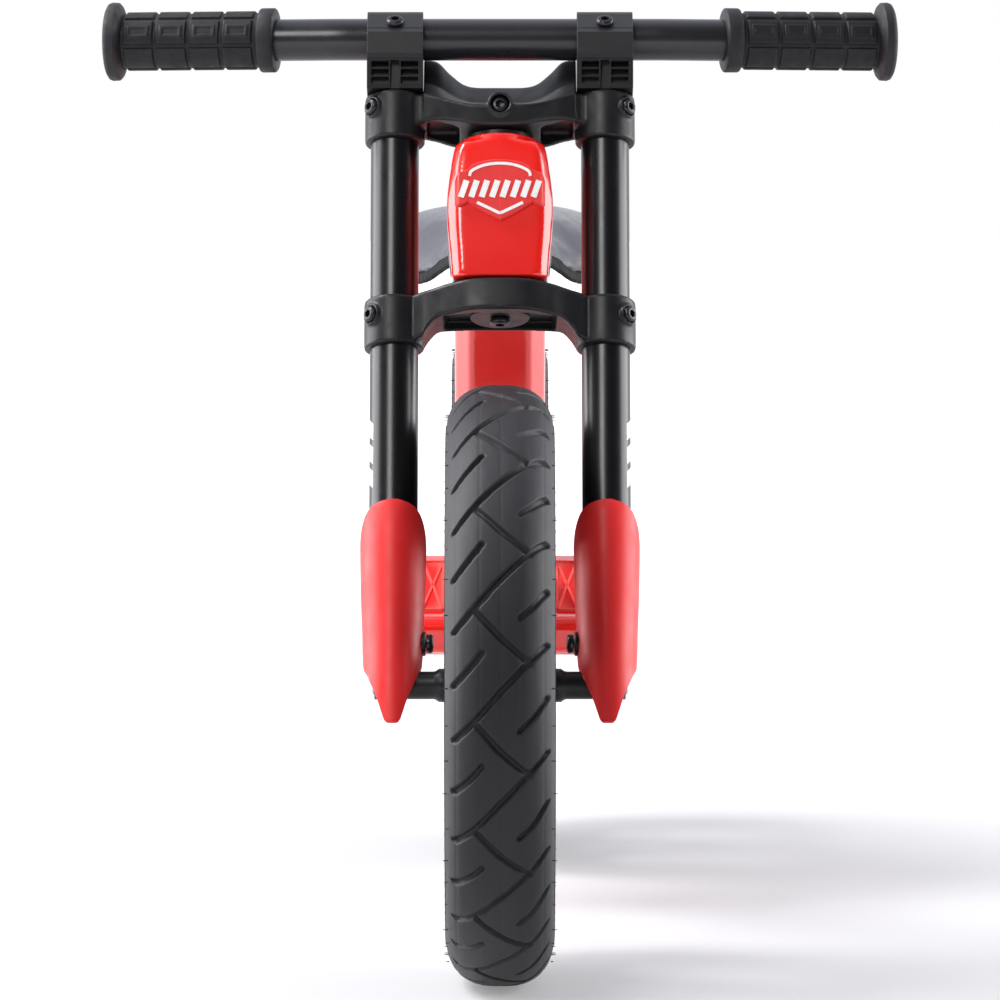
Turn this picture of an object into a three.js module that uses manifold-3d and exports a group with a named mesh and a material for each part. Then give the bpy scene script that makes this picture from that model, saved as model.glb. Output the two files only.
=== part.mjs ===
// A child's balance bike: a one-piece cast frame, a twin-crown fork with plastic leg guards,
// two 12 1/2 inch air tyres on five-spoke wheels, a clamped handlebar and a height-adjustable saddle.
//
// Millimetres, +Z up. The bike faces -Y and the rider's left is +X.
// The origin is on the ground, midway between the two axles.

import * as THREE from 'three';
import { mergeVertices } from 'three/addons/utils/BufferGeometryUtils.js';
import Module from 'manifold-3d';

const wasm = await Module();
wasm.setup();

// ---------------------------------------------------------------- driving dimensions

const GAP = 0.3;                 // clearance kept between touching pieces
const ROUND = 18;                // sides on a round piece, so that mating pieces match
const SIDES = { left: 1, right: -1 };

const WHEEL_RADIUS = 155;        // 12 1/2 x 2 1/4 tyre
const WHEEL_FACETS = 32;
const WHEELBASE = 565;
const AXLE_RADIUS = 5;
const SPOKES = 5;
const BEARING = { inner: 19, outer: 27, radius: 12.8 };

const HEAD_TILT = THREE.MathUtils.degToRad(22);
const FORK_OFFSET = 6;           // the front axle lies this far ahead of the steering axis
const LEG_X = 55.5;              // a fork leg's distance from the centre plane
const STANCHION_RADIUS = 12.7;
const TUBE_WALL = 2;
const STEERER_RADIUS = 12.7;
const HEADSET = { bore: 16, cup: 19, depth: 7 };
const COLLAR_RADIUS = 15.8;
const PINCH_ANGLE = THREE.MathUtils.degToRad(47);

// heights along the steering axis, counted from the point nearest the front axle
const LEG_BOTTOM = 20;
const LOWER_CROWN = { bottom: 184.3, top: 211, pocket: 206 };
const HEAD_TUBE = { bottom: 221, top: 298 };
const CORNER_CUT = 1.2;          // taken off the corners of the casting's eight-sided sections
const BEAM_CHAMFER = { across: 0.34, along: 0.45 };   // shares of the beam's half width and half depth
const UPPER_CROWN = { bottom: 298.8, top: 325, bore: 312 };
const RISER = { bottom: 325.3, top: 341.5, front: 20, rear: 16 };
const BAR_HEIGHT = 358.2;
const CLAMP_TOP = 371.8;
const CLAMP_HALF_WIDTH = 14.8;

const BAR_RADIUS = 11.1;
const BAR_END = 203;
const BAR_BEND = 80;
const BAR_SWEEP = THREE.MathUtils.degToRad(9);
const GRIP_LENGTH = 91;

const FOOTREST_HALF_WIDTH = 70;
const STAY_X = 48.3;             // a rear stay's distance from the centre plane at the axle
const LUG_HALF_THICKNESS = 5;      // of the fork ends and the rear stays' ends
const REAR_LUG_RADIUS = 15;

const SEAT_TILT = THREE.MathUtils.degToRad(18);
const SEAT_TUBE = { radius: 17, bore: 13, length: 108 };
const SEAT_POST = { radius: 12.7, bottom: 30, top: 164 };
const SADDLE_SOCKET = { bottom: 140, radius: 17 };
const PIN_HOLE_RADIUS = 2.8;

// ---------------------------------------------------------------- materials

function material(color, roughness, metalness) {
  return new THREE.MeshStandardMaterial({ color, roughness, metalness });
}

const MATERIALS = {
  frameRed: material(0xe0301f, 0.25, 0.1),
  badgeRed: material(0xd8382f, 0.4, 0),
  guardRed: material(0xd24044, 0.5, 0),
  castBlack: material(0x2d2d2f, 0.55, 0.2),
  tubeBlack: material(0x242327, 0.3, 0.5),
  boltBlack: material(0x18181a, 0.35, 0.7),
  gripRubber: material(0x353439, 0.85, 0),
  tyreRubber: material(0x2d2c32, 0.9, 0),
  wheelPlastic: material(0x1e1e20, 0.5, 0),
  bearingSteel: material(0xb4b6ba, 0.3, 0.9),
  saddleFoam: material(0x34353a, 0.7, 0),
  saddleShell: material(0x1c1c1e, 0.6, 0),
};

// ---------------------------------------------------------------- solids

// Joins shared corners, drops empty triangles and turns the faces outwards.
function closed(geometry) {
  const bare = geometry.clone();
  bare.deleteAttribute('normal');
  bare.deleteAttribute('uv');
  const merged = mergeVertices(bare, 1e-4);
  const position = merged.attributes.position;
  const corner = [0, 1, 2].map(() => new THREE.Vector3());
  const faces = [];
  let volume = 0;
  for (let i = 0; i < merged.index.count; i += 3) {
    const face = [0, 1, 2].map((k) => merged.index.getX(i + k));
    if (new Set(face).size < 3) continue;
    face.forEach((vertex, k) => corner[k].fromBufferAttribute(position, vertex));
    volume += corner[0].dot(corner[1].cross(corner[2]));
    faces.push(face);
  }
  if (volume < 0) faces.forEach((face) => face.reverse());
  merged.setIndex(faces.flat());
  merged.computeVertexNormals();
  return merged;
}

function manifoldOf(geometry) {
  const { attributes, index } = closed(geometry);
  const mesh = new wasm.Mesh({
    numProp: 3,
    vertProperties: new Float32Array(attributes.position.array),
    triVerts: new Uint32Array(index.array),
  });
  return new wasm.Manifold(mesh);
}

function geometryOf(manifold) {
  const mesh = manifold.getMesh();
  const geometry = new THREE.BufferGeometry();
  geometry.setAttribute('position', new THREE.BufferAttribute(mesh.vertProperties, 3));
  geometry.setIndex(new THREE.BufferAttribute(mesh.triVerts, 1));
  geometry.computeVertexNormals();
  return geometry;
}

function join(...geometries) {
  return geometryOf(geometries.map(manifoldOf).reduce((whole, piece) => whole.add(piece)));
}

function cut(geometry, ...tools) {
  const whole = manifoldOf(geometry);
  return geometryOf(tools.map(manifoldOf).reduce((rest, tool) => rest.subtract(tool), whole));
}

// Skins a row of rings that have the same number of corners, and closes both ends.
function loft(rings) {
  const count = rings[0].length;
  const positions = rings.flat().flatMap((corner) => [corner.x, corner.y, corner.z]);
  const faces = [];
  for (let row = 0; row + 1 < rings.length; row += 1) {
    for (let i = 0; i < count; i += 1) {
      const a = row * count + i;
      const b = row * count + ((i + 1) % count);
      faces.push(a, b, b + count, a, b + count, a + count);
    }
  }
  const lastRow = (rings.length - 1) * count;
  faces.push(...endCap(rings[0]).flatMap(([a, b, c]) => [c, b, a]));
  faces.push(...endCap(rings.at(-1)).flatMap(([a, b, c]) => [lastRow + a, lastRow + b, lastRow + c]));
  const geometry = new THREE.BufferGeometry();
  geometry.setAttribute('position', new THREE.Float32BufferAttribute(positions, 3));
  geometry.setIndex(faces);
  return closed(geometry);
}

// Triangulates a flat ring in its own plane, keeping the ring's direction of turn.
function endCap(ring) {
  const normal = new THREE.Vector3();
  ring.forEach((corner, i) => {
    normal.add(corner.clone().cross(ring[(i + 1) % ring.length]));
  });
  normal.normalize();
  const helper = Math.abs(normal.x) < 0.9 ? new THREE.Vector3(1, 0, 0) : new THREE.Vector3(0, 1, 0);
  const u = helper.cross(normal).normalize();
  const v = normal.clone().cross(u);
  const outline = ring.map((corner) => new THREE.Vector2(corner.dot(u), corner.dot(v)));
  return THREE.ShapeUtils.triangulateShape(outline, []);
}

// ---------------------------------------------------------------- simple shapes

const TURN = {
  x: (geometry) => geometry.rotateZ(-Math.PI / 2),
  y: (geometry) => geometry,
  z: (geometry) => geometry.rotateX(Math.PI / 2),
};

function box(low, high) {
  const size = high.map((value, i) => value - low[i]);
  const centre = high.map((value, i) => (value + low[i]) / 2);
  return new THREE.BoxGeometry(...size).translate(...centre);
}

// A round bar along one axis, from one station to another.
function rod(axis, radius, from, to, segments = ROUND) {
  const geometry = new THREE.CylinderGeometry(radius, radius, Math.abs(to - from), segments);
  geometry.translate(0, (from + to) / 2, 0);
  return TURN[axis](geometry);
}

// A turned part along one axis; the profile is a closed list of [station, radius].
function turned(axis, profile, segments = ROUND) {
  const points = [...profile, profile[0]].map(([station, radius]) => new THREE.Vector2(radius, station));
  return closed(TURN[axis](new THREE.LatheGeometry(points, segments)));
}

function ring(axis, inner, outer, from, to, segments = ROUND) {
  return turned(axis, [[from, inner], [to, inner], [to, outer], [from, outer]], segments);
}

// A bolt whose head faces +Y: a shank, a rounded head and a hexagon socket.
function bolt({ headRadius, headHeight, shankRadius, shankLength, socket = headRadius * 0.42 }) {
  const profile = [
    [-shankLength, 0],
    [-shankLength, shankRadius],
    [0, shankRadius],
    [0, headRadius],
    [headHeight, headRadius * 0.85],
    [headHeight, 0],
  ];
  const recess = rod('y', socket, headHeight * 0.35, headHeight + 1, 6);
  return cut(turned('y', profile, 12), recess);
}

// A closed outline in the X-Z plane, given as [x, z] corners, swept along Y.
function plate(corners, from, to) {
  const ringAt = (y) => corners.map(([x, z]) => new THREE.Vector3(x, y, z));
  return loft([ringAt(from), ringAt(to)]);
}

// A closed side view, given as [y, z] corners, swept along X.
function slab(corners, from, to) {
  const ringAt = (x) => corners.map(([y, z]) => new THREE.Vector3(x, y, z));
  return loft([ringAt(from), ringAt(to)]);
}

// A rounded rectangle: power 1 is a diamond, 2 an ellipse, and larger values are squarer.
function roundedSection(halfWidth, halfDepth, power, corners) {
  return Array.from({ length: corners }, (_, i) => {
    const angle = (2 * Math.PI * (i + 0.5)) / corners;
    const bend = (value) => Math.sign(value) * Math.abs(value) ** (2 / power);
    return [halfWidth * bend(Math.cos(angle)), halfDepth * bend(Math.sin(angle))];
  });
}

// An eight-sided section with blunted corners. Its chamfers are so wide across and so deep along.
function facetedSection(halfWidth, front, rear, across, along) {
  const faceHalf = halfWidth - across;
  const corners = [
    [-faceHalf, -front], [faceHalf, -front], [halfWidth, along - front], [halfWidth, rear - along],
    [faceHalf, rear], [-faceHalf, rear], [-halfWidth, rear - along], [-halfWidth, along - front],
  ].map(([x, y]) => new THREE.Vector2(x, y));
  const towards = (corner, other) => {
    const step = other.clone().sub(corner).setLength(CORNER_CUT);
    return corner.clone().add(step).toArray();
  };
  return corners.flatMap((corner, i) => (
    [towards(corner, corners[(i + 7) % 8]), towards(corner, corners[(i + 1) % 8])]
  ));
}

// Stations given outwards from the middle, on both sides of it.
function mirrored(stations) {
  return [...stations.slice(1).reverse().map(([x, ...rest]) => [-x, ...rest]), ...stations];
}

// Values between a few [position, value, value, ...] stations.
function between(stations, position) {
  const last = stations.length - 1;
  let i = stations.findIndex((station, k) => k < last && position <= stations[k + 1][0]);
  if (i < 0) i = last - 1;
  const [from, to] = [stations[i], stations[i + 1]];
  const t = (position - from[0]) / (to[0] - from[0]);
  return from.slice(1).map((value, k) => value + (to[k + 1] - value) * t);
}

// ---------------------------------------------------------------- assembly frame

const bike = new THREE.Group();
const frontAxle = new THREE.Vector3(0, -WHEELBASE / 2, WHEEL_RADIUS);
const rearAxle = new THREE.Vector3(0, WHEELBASE / 2, WHEEL_RADIUS);

// In the steering group +Z runs up the steering axis and -Y points ahead.
const steering = new THREE.Group();
steering.rotation.x = -HEAD_TILT;
steering.position.copy(frontAxle);
steering.position.y += FORK_OFFSET * Math.cos(HEAD_TILT);
steering.position.z -= FORK_OFFSET * Math.sin(HEAD_TILT);
steering.updateMatrix();
bike.add(steering);

// In the seat group +Z runs up the seat tube.
const SEAT_FOOT = new THREE.Vector3(0, 385 - WHEELBASE / 2, 190);
const seating = new THREE.Group();
seating.rotation.x = -SEAT_TILT;
seating.position.copy(SEAT_FOOT);
seating.updateMatrix();
bike.add(seating);

function addMesh(parent, name, geometry, look) {
  const mesh = new THREE.Mesh(geometry, look);
  mesh.name = name;
  parent.add(mesh);
  return mesh;
}

// ---------------------------------------------------------------- frame

// Stations up the head tube: height, half width, front, rear, and the chamfers' width and depth.
const HEAD_STATIONS = [
  [221, 25.8, 23.5, 24, 4.9, 5],
  [230, 26.2, 24.2, 26, 5, 5.1],
  [245, 27.1, 25, 27, 5.2, 5.2],
  [258, 27.8, 25.6, 28, 5.5, 5.5],
  [268, 28, 25.6, 28, 5.8, 5.9],
  [280, 26.8, 25, 27, 6.2, 6.6],
  [288, 25.2, 24.2, 26, 7, 8],
  [292, 23, 23.3, 24, 7, 8],
  [298, 22.4, 22.6, 23, 6.8, 7.6],
];

function headTube() {
  const rings = HEAD_STATIONS.map(([height, ...section]) => (
    facetedSection(...section).map(([x, y]) => new THREE.Vector3(x, y, height))
  ));
  return loft(rings).applyMatrix4(steering.matrix);
}

// The monocoque beam: centre line ahead-behind and up, half width, half depth.
const BEAM_STATIONS = [
  [104, 396, 23.2, 27],
  [124, 386, 24, 29],
  [146, 371, 24.3, 29],
  [170, 346, 24.3, 28],
  [195, 313, 24.3, 26.5],
  [220, 278, 24.3, 25],
  [246, 242, 24.6, 23.5],
  [276, 210, 25.6, 22],
  [310, 187, 28, 19],
  [348, 175, 31, 16],
  [388, 171, 31, 13],
];

const BEAM_WALL = 4;

// The beam's outside, or with a wall its hollow, which opens into the head tube's bore.
function beam(stations, wall) {
  const centres = stations.map(([y, z]) => new THREE.Vector3(0, y, z));
  const rings = stations.map(([, , halfWidth, halfDepth], i) => {
    const before = centres[Math.max(i - 1, 0)];
    const after = centres[Math.min(i + 1, centres.length - 1)];
    const along = after.clone().sub(before).normalize();
    const across = new THREE.Vector3(0, -along.z, along.y);
    const [width, depth] = [halfWidth - wall, halfDepth - wall];
    const chamfer = [width * BEAM_CHAMFER.across, depth * BEAM_CHAMFER.along];
    return facetedSection(width, depth, depth, ...chamfer).map(([x, d]) => (
      new THREE.Vector3(x, 0, 0).addScaledVector(across, d).add(centres[i])
    ));
  });
  return loft(rings).translate(0, -WHEELBASE / 2, 0);
}

// The footrest crosses the beam; its top slopes up towards the rear wheel.
function footrest() {
  const side = [
    [298, 143], [298, 157], [302, 161.5], [400, 188], [404, 184], [404, 177], [385, 158], [306, 140],
  ];
  const outline = [
    [-FOOTREST_HALF_WIDTH, 314], [-FOOTREST_HALF_WIDTH + 14, 296], [FOOTREST_HALF_WIDTH - 14, 296],
    [FOOTREST_HALF_WIDTH, 314], [FOOTREST_HALF_WIDTH, 392], [FOOTREST_HALF_WIDTH - 12, 408],
    [-FOOTREST_HALF_WIDTH + 12, 408], [-FOOTREST_HALF_WIDTH, 392],
  ];
  const body = slab(side, -FOOTREST_HALF_WIDTH - 1, FOOTREST_HALF_WIDTH + 1);
  const ringAt = (z) => outline.map(([x, y]) => new THREE.Vector3(x, y, z));
  const trimmed = manifoldOf(body).intersect(manifoldOf(loft([ringAt(120), ringAt(210)])));
  return geometryOf(trimmed).translate(0, -WHEELBASE / 2, 0);
}

// A rear stay: distance behind the front axle, sideways place, height, half width, half height.
const STAY_STATIONS = [
  [350, 44, 161, 9, 11],
  [385, 46, 163, 9, 13],
  [410, 47.5, 165, 7, 14],
  [450, STAY_X, 165, 6, 13.5],
  [500, STAY_X, 162, 5.4, 12.5],
  [540, STAY_X, 158, 5, 12],
  [WHEELBASE, STAY_X, WHEEL_RADIUS, 5, 11],
];

function rearStay(side) {
  const rings = STAY_STATIONS.map(([y, x, z, halfWidth, halfHeight]) => (
    roundedSection(halfWidth, halfHeight, 2.6, 12).map(([dx, dz]) => (
      new THREE.Vector3(side * x + dx, y - WHEELBASE / 2, z + dz)
    ))
  ));
  const centre = side * STAY_X;
  const lug = rod('x', REAR_LUG_RADIUS, centre - LUG_HALF_THICKNESS, centre + LUG_HALF_THICKNESS);
  return join(loft(rings), lug.translate(0, rearAxle.y, rearAxle.z));
}

function seatTube() {
  return rod('z', SEAT_TUBE.radius, -14, SEAT_TUBE.length).applyMatrix4(seating.matrix);
}

function frameCasting() {
  const stays = Object.values(SIDES).map(rearStay);
  const body = join(headTube(), beam(BEAM_STATIONS, 0), footrest(), seatTube(), ...stays);
  const hollow = beam(BEAM_STATIONS.slice(0, -2), BEAM_WALL);
  const { bottom, top } = HEAD_TUBE;
  const steererBore = rod('z', HEADSET.bore, bottom - 5, top + 5);
  const cupSeats = [
    rod('z', HEADSET.cup, bottom - 5, bottom + HEADSET.depth),
    rod('z', HEADSET.cup, top - HEADSET.depth, top + 5),
  ];
  const tools = [steererBore, ...cupSeats].map((tool) => tool.applyMatrix4(steering.matrix));
  const postBore = rod('z', SEAT_TUBE.bore, 2, SEAT_TUBE.length + 5);
  const clampSlot = box([-1.2, 0, SEAT_TUBE.length - 22], [1.2, 30, SEAT_TUBE.length + 5]);
  const seatTools = [postBore, clampSlot].map((tool) => tool.applyMatrix4(seating.matrix));
  const axleReach = STAY_X + 20;
  const axleHole = rod('x', AXLE_RADIUS + GAP, -axleReach, axleReach).translate(0, rearAxle.y, rearAxle.z);
  return cut(body, hollow, ...tools, ...seatTools, axleHole);
}

// The raised shield on the front of the head tube, wrapped slightly round it.
const BADGE_STATIONS = [
  [0, 247.6, 281],
  [6, 250.6, 280],
  [12, 254, 278],
  [16, 257, 276],
  [22, 255, 273],
  [23.5, 256, 270],
];

function headBadge() {
  const rings = mirrored(BADGE_STATIONS).map(([x, bottom, top]) => {
    const back = -26 + 0.8 * Math.max(0, Math.abs(x) - 22);
    const front = back - 2.4;
    return [[back, bottom], [front, bottom + 0.8], [front, top - 0.8], [back, top]].map(([y, z]) => (
      new THREE.Vector3(x, y, z)
    ));
  });
  return loft(rings);
}

// A headset bearing sits in the head tube's end and fills the space to the crown.
function headsetBearing(from, to) {
  return ring('z', STEERER_RADIUS + GAP, HEADSET.cup - GAP, from, to);
}

function addFrame() {
  addMesh(bike, 'frame_casting', frameCasting(), MATERIALS.frameRed);
  addMesh(steering, 'head_badge', headBadge(), MATERIALS.badgeRed);
  const { bottom, top } = HEAD_TUBE;
  const seated = HEADSET.depth - 0.4;
  const proud = 3.2;
  const lower = headsetBearing(bottom - proud, bottom + seated);
  const upper = headsetBearing(top - seated, top + proud);
  addMesh(steering, 'headset_bearing_lower', lower, MATERIALS.castBlack);
  addMesh(steering, 'headset_bearing_upper', upper, MATERIALS.castBlack);
}

// ---------------------------------------------------------------- crowns

// Stations outwards across the lower crown: x, front, top, bottom at the front, bottom at the rear.
const LOWER_CROWN_STATIONS = [
  [0, 26, 216.6, 198.8, 201],
  [15, 25, 216.4, 198.7, 201],
  [26, 20.8, 215.4, 197.6, 200.6],
  [33, 17.4, 214.2, 196.8, 199.5],
  [38, 15.6, 213, 191.6, 194],
  [41, 14.8, 212.4, 187.4, 189.5],
  [48, 12, 210.6, 185.4, 185.4],
];

function collar(side, bottom, top) {
  const chamfer = 1.2;
  const profile = [
    [bottom, 0],
    [bottom, COLLAR_RADIUS - 0.6],
    [bottom + 0.6, COLLAR_RADIUS],
    [top - chamfer, COLLAR_RADIUS],
    [top, COLLAR_RADIUS - chamfer],
    [top, 0],
  ];
  return turned('z', profile).translate(side * LEG_X, 0, 0);
}

// Turns a piece that faces +Y so that it faces outwards and ahead from a fork leg.
function towardsPinch(geometry, side, height) {
  return geometry.rotateZ(side * (-Math.PI + PINCH_ANGLE)).translate(side * LEG_X, 0, height);
}

function pinchLug(side, height) {
  return towardsPinch(rod('y', 5.6, 10, 17.4, 16), side, height);
}

function pinchHole(side, height) {
  return towardsPinch(join(rod('y', 2.2, 10, 30, 10), rod('y', 4.6, 15.2, 30, 12)), side, height);
}

function legBore(side, from, to) {
  return rod('z', STANCHION_RADIUS + GAP, from, to).translate(side * LEG_X, 0, 0);
}

const PINCH_HEIGHT = { lower: 200.4, upper: 316 };

// The arched hollow under the lower crown: a front view, and its front and rear walls.
const CROWN_HOLLOW = {
  outline: [[-35, 180], [-28, LOWER_CROWN.pocket], [28, LOWER_CROWN.pocket], [35, 180]],
  front: -17,
  rear: 16,
};

function lowerCrown() {
  const rings = mirrored(LOWER_CROWN_STATIONS).map(([x, front, top, bottomFront, bottomRear]) => (
    [
      [-front + 0.8, bottomFront], [-front, bottomFront + 1.2], [-front, top - 1.4], [-front + 1.8, top],
      [16.8, top], [18.5, top - 1.6], [18.5, bottomRear + 0.8], [17.7, bottomRear],
    ].map(([y, z]) => new THREE.Vector3(x, y, z))
  ));
  const sides = Object.values(SIDES);
  const { bottom, top } = LOWER_CROWN;
  const collars = sides.map((side) => collar(side, bottom, top));
  const lugs = sides.map((side) => pinchLug(side, PINCH_HEIGHT.lower));
  const recess = plate(CROWN_HOLLOW.outline, CROWN_HOLLOW.front, CROWN_HOLLOW.rear);
  return cut(
    join(loft(rings), ...collars, ...lugs),
    recess,
    rod('z', STEERER_RADIUS + GAP, 190, 230),
    ...sides.map((side) => legBore(side, 150, 240)),
    ...sides.map((side) => pinchHole(side, PINCH_HEIGHT.lower)),
  );
}

// Stations outwards across the upper crown: x, front, top at the front, top at the rear,
// bottom at the front, bottom at the rear.
const UPPER_CROWN_STATIONS = [
  [0, 24.5, 313.2, 335.2, 302, 301.6],
  [13, 24.2, 313.6, 335.4, 302.8, 301.6],
  [20, 22.6, 315, 337.4, 304.8, 301.8],
  [27, 20, 317.6, 343.4, 306.6, 303.4],
  [33, 17.6, 320.4, 349.6, 307.8, 305.4],
  [40.4, 15.8, 323.2, 351.4, 307, 307],
];

const CENTRE_BOLT_HEIGHT = 313.6;
const CROWN_POCKET = { inner: 21.5, outer: 38.5, front: -11.5, rear: 12, top: 311 };

// The hollow under the upper crown's arm, between the steerer and a leg.
function crownPocket(side) {
  const { inner, outer, front, rear, top } = CROWN_POCKET;
  const [from, to] = [side * inner, side * outer].sort((a, b) => a - b);
  return box([from, front, UPPER_CROWN.bottom - 10], [to, rear, top]);
}

function upperCrown() {
  const rings = mirrored(UPPER_CROWN_STATIONS).map(([x, front, topFront, topRear, lowFront, lowRear]) => (
    [
      [-front + 3, lowFront], [-front + 2.2, lowFront + 1.4], [-front, topFront - 1],
      [-front + 1.4, topFront], [-4, (topFront * 2 + topRear) / 3], [9.5, topRear - 1.2], [11, topRear],
      [15.2, topRear], [16.2, topRear - 1.4], [16.2, lowRear + 1.2], [15, lowRear],
    ].map(([y, z]) => new THREE.Vector3(x, y, z))
  ));
  const sides = Object.values(SIDES);
  const { bottom, top, bore } = UPPER_CROWN;
  const bridges = sides.map((side) => box(
    [Math.min(side * 39, side * 46), -12.5, 307],
    [Math.max(side * 39, side * 46), 12.5, 323.4],
  ));
  const collars = sides.map((side) => collar(side, bottom, top));
  const lugs = sides.map((side) => pinchLug(side, PINCH_HEIGHT.upper));
  const boltBoss = rod('y', 6.6, -24.4, -6).translate(0, 0, CENTRE_BOLT_HEIGHT);
  return cut(
    join(loft(rings), ...bridges, ...collars, ...lugs, boltBoss),
    ...sides.map(crownPocket),
    rod('z', STEERER_RADIUS + GAP, 280, bore),
    rod('y', 5, -30, -18.4).translate(0, 0, CENTRE_BOLT_HEIGHT),
    rod('y', 2.9, -20, -13.5).translate(0, 0, CENTRE_BOLT_HEIGHT),
    ...sides.map((side) => legBore(side, 280, 340)),
    ...sides.map((side) => pinchHole(side, PINCH_HEIGHT.upper)),
  );
}

function pinchBolt(side, height) {
  const piece = bolt({ headRadius: 4.2, headHeight: 3.4, shankRadius: 1.8, shankLength: 2.2 });
  return towardsPinch(piece.translate(0, 15.5, 0), side, height);
}

function addCrowns() {
  addMesh(steering, 'lower_crown', lowerCrown(), MATERIALS.castBlack);
  addMesh(steering, 'upper_crown', upperCrown(), MATERIALS.castBlack);
  for (const [name, side] of Object.entries(SIDES)) {
    for (const [level, height] of Object.entries(PINCH_HEIGHT)) {
      addMesh(steering, `pinch_bolt_${level}_${name}`, pinchBolt(side, height), MATERIALS.boltBlack);
    }
  }
  const centreBolt = bolt({ headRadius: 4.7, headHeight: 4, shankRadius: 2.5, shankLength: 4 });
  const centreBoltPlace = centreBolt.rotateZ(Math.PI).translate(0, -18.7, CENTRE_BOLT_HEIGHT);
  addMesh(steering, 'crown_centre_bolt', centreBoltPlace, MATERIALS.boltBlack);
}

// ---------------------------------------------------------------- steerer and legs

function addSteerer() {
  const wall = 2.4;
  const end = LOWER_CROWN.pocket - 1.4;
  const tube = ring('z', STEERER_RADIUS - wall, STEERER_RADIUS, end, UPPER_CROWN.bore - 0.5);
  addMesh(steering, 'steerer_tube', tube, MATERIALS.bearingSteel);
  const washer = ring('z', 3.4, 15.5, end - 3, end - GAP);
  addMesh(steering, 'steerer_washer', washer, MATERIALS.castBlack);
  const endBolt = bolt({ headRadius: 5.2, headHeight: 3, shankRadius: 3, shankLength: 24 });
  const placed = endBolt.rotateX(-Math.PI / 2).translate(0, 0, end - 3.3);
  addMesh(steering, 'steerer_bolt', placed, MATERIALS.boltBlack);
}

const GUARD_BOLT = { height: 23.5, forward: 2 };

// The guard bolt's line runs across the leg, in from the wheel's side.
function guardBoltHole(side, radius, reach) {
  const far = LEG_X - reach;
  return rod('x', radius, side * far, side * (LEG_X - 30), 16)
    .translate(0, -GUARD_BOLT.forward, GUARD_BOLT.height);
}

function stanchion(side) {
  const tube = ring('z', STANCHION_RADIUS - TUBE_WALL, STANCHION_RADIUS, LEG_BOTTOM, UPPER_CROWN.top - 0.4);
  return cut(tube.translate(side * LEG_X, 0, 0), guardBoltHole(side, 2.6, 0));
}

// The fork end plugs into the leg and carries the axle in a flat lug.
function forkEnd(side) {
  const plug = rod('z', STANCHION_RADIUS - TUBE_WALL - GAP, 8, LEG_BOTTOM + 16);
  const shoulder = rod('z', STANCHION_RADIUS, -4, LEG_BOTTOM - GAP);
  const outline = [[-11, -12], [0, -12], [7, -5], [11, 12], [-11, 12], [-15, 4], [-15, -6]];
  const lug = slab(outline, -LUG_HALF_THICKNESS, LUG_HALF_THICKNESS);
  const body = join(shoulder, plug, lug).translate(side * LEG_X, 0, 0);
  const flats = [
    box([side * LEG_X + LUG_HALF_THICKNESS, -30, -30], [side * LEG_X + 30, 30, 9.5]),
    box([side * LEG_X - 30, -30, -30], [side * LEG_X - LUG_HALF_THICKNESS, 30, 9.5]),
  ];
  const axleHole = rod('x', AXLE_RADIUS + GAP, side * LEG_X - 20, side * LEG_X + 20)
    .translate(0, -FORK_OFFSET, 0);
  return cut(body, ...flats, axleHole, guardBoltHole(side, 2.6, 0));
}

// Stations up the leg guard: height, half width, reach ahead, half angle of the wrap in degrees.
const GUARD_STATIONS = [
  [-23.9, 21.3, 7],
  [-22.8, 21.5, 12],
  [-18, 21.5, 20],
  [-11.7, 21.5, 27.6],
  [-5, 21.5, 36],
  [3, 21.5, 48],
  [12, 21.5, 66],
  [17, 21.5, 77],
  [28, 21.5, 92],
  [50, 21.5, 96],
  [72, 21.2, 93],
  [79, 20.8, 84],
  [86, 20.2, 69],
  [91.5, 19.5, 53],
  [95, 18.8, 35],
  [97.2, 18.1, 8],
];
const GUARD_WALL = 2.6;
const GUARD_STEPS = 8;

function guardHalfWidth(height) {
  return between([[-24, 16.6], [15, 16.2], [48, 17.6], [72, 17.6], [97, 17]], height)[0];
}

function legGuard(side) {
  const rings = GUARD_STATIONS.map(([height, forward, wrap]) => {
    const half = THREE.MathUtils.degToRad(wrap);
    const width = guardHalfWidth(height);
    const skin = (inset, from, to) => Array.from({ length: GUARD_STEPS + 1 }, (_, i) => {
      const angle = from + ((to - from) * i) / GUARD_STEPS;
      const x = (width - inset) * Math.sin(angle);
      const y = -(forward - inset) * Math.cos(angle);
      return new THREE.Vector3(side * LEG_X + x, y, height);
    });
    return [...skin(0, -half, half), ...skin(GUARD_WALL, half, -half)];
  });
  return cut(loft(rings), guardBoltHole(side, 2.6, 12));
}

function guardBolt(side) {
  const piece = bolt({ headRadius: 5, headHeight: 3.6, shankRadius: 2.1, shankLength: 13, socket: 2.2 });
  const headSeat = LEG_X - 17.4;
  return piece.rotateZ(side * Math.PI / 2).translate(side * headSeat, -GUARD_BOLT.forward, GUARD_BOLT.height);
}

function addLegs() {
  for (const [name, side] of Object.entries(SIDES)) {
    addMesh(steering, `stanchion_${name}`, stanchion(side), MATERIALS.tubeBlack);
    addMesh(steering, `fork_end_${name}`, forkEnd(side), MATERIALS.castBlack);
    addMesh(steering, `leg_guard_${name}`, legGuard(side), MATERIALS.guardRed);
    addMesh(steering, `guard_bolt_${name}`, guardBolt(side), MATERIALS.boltBlack);
  }
}

// ---------------------------------------------------------------- handlebar

// Side view of the bar clamp, ahead and up: the slanted front facet carries the bolt.
const FACET = { low: [20, 355.1], high: [8, 369.6] };

function barBore() {
  return rod('x', BAR_RADIUS + GAP, -30, 30).translate(0, 0, BAR_HEIGHT);
}

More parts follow.
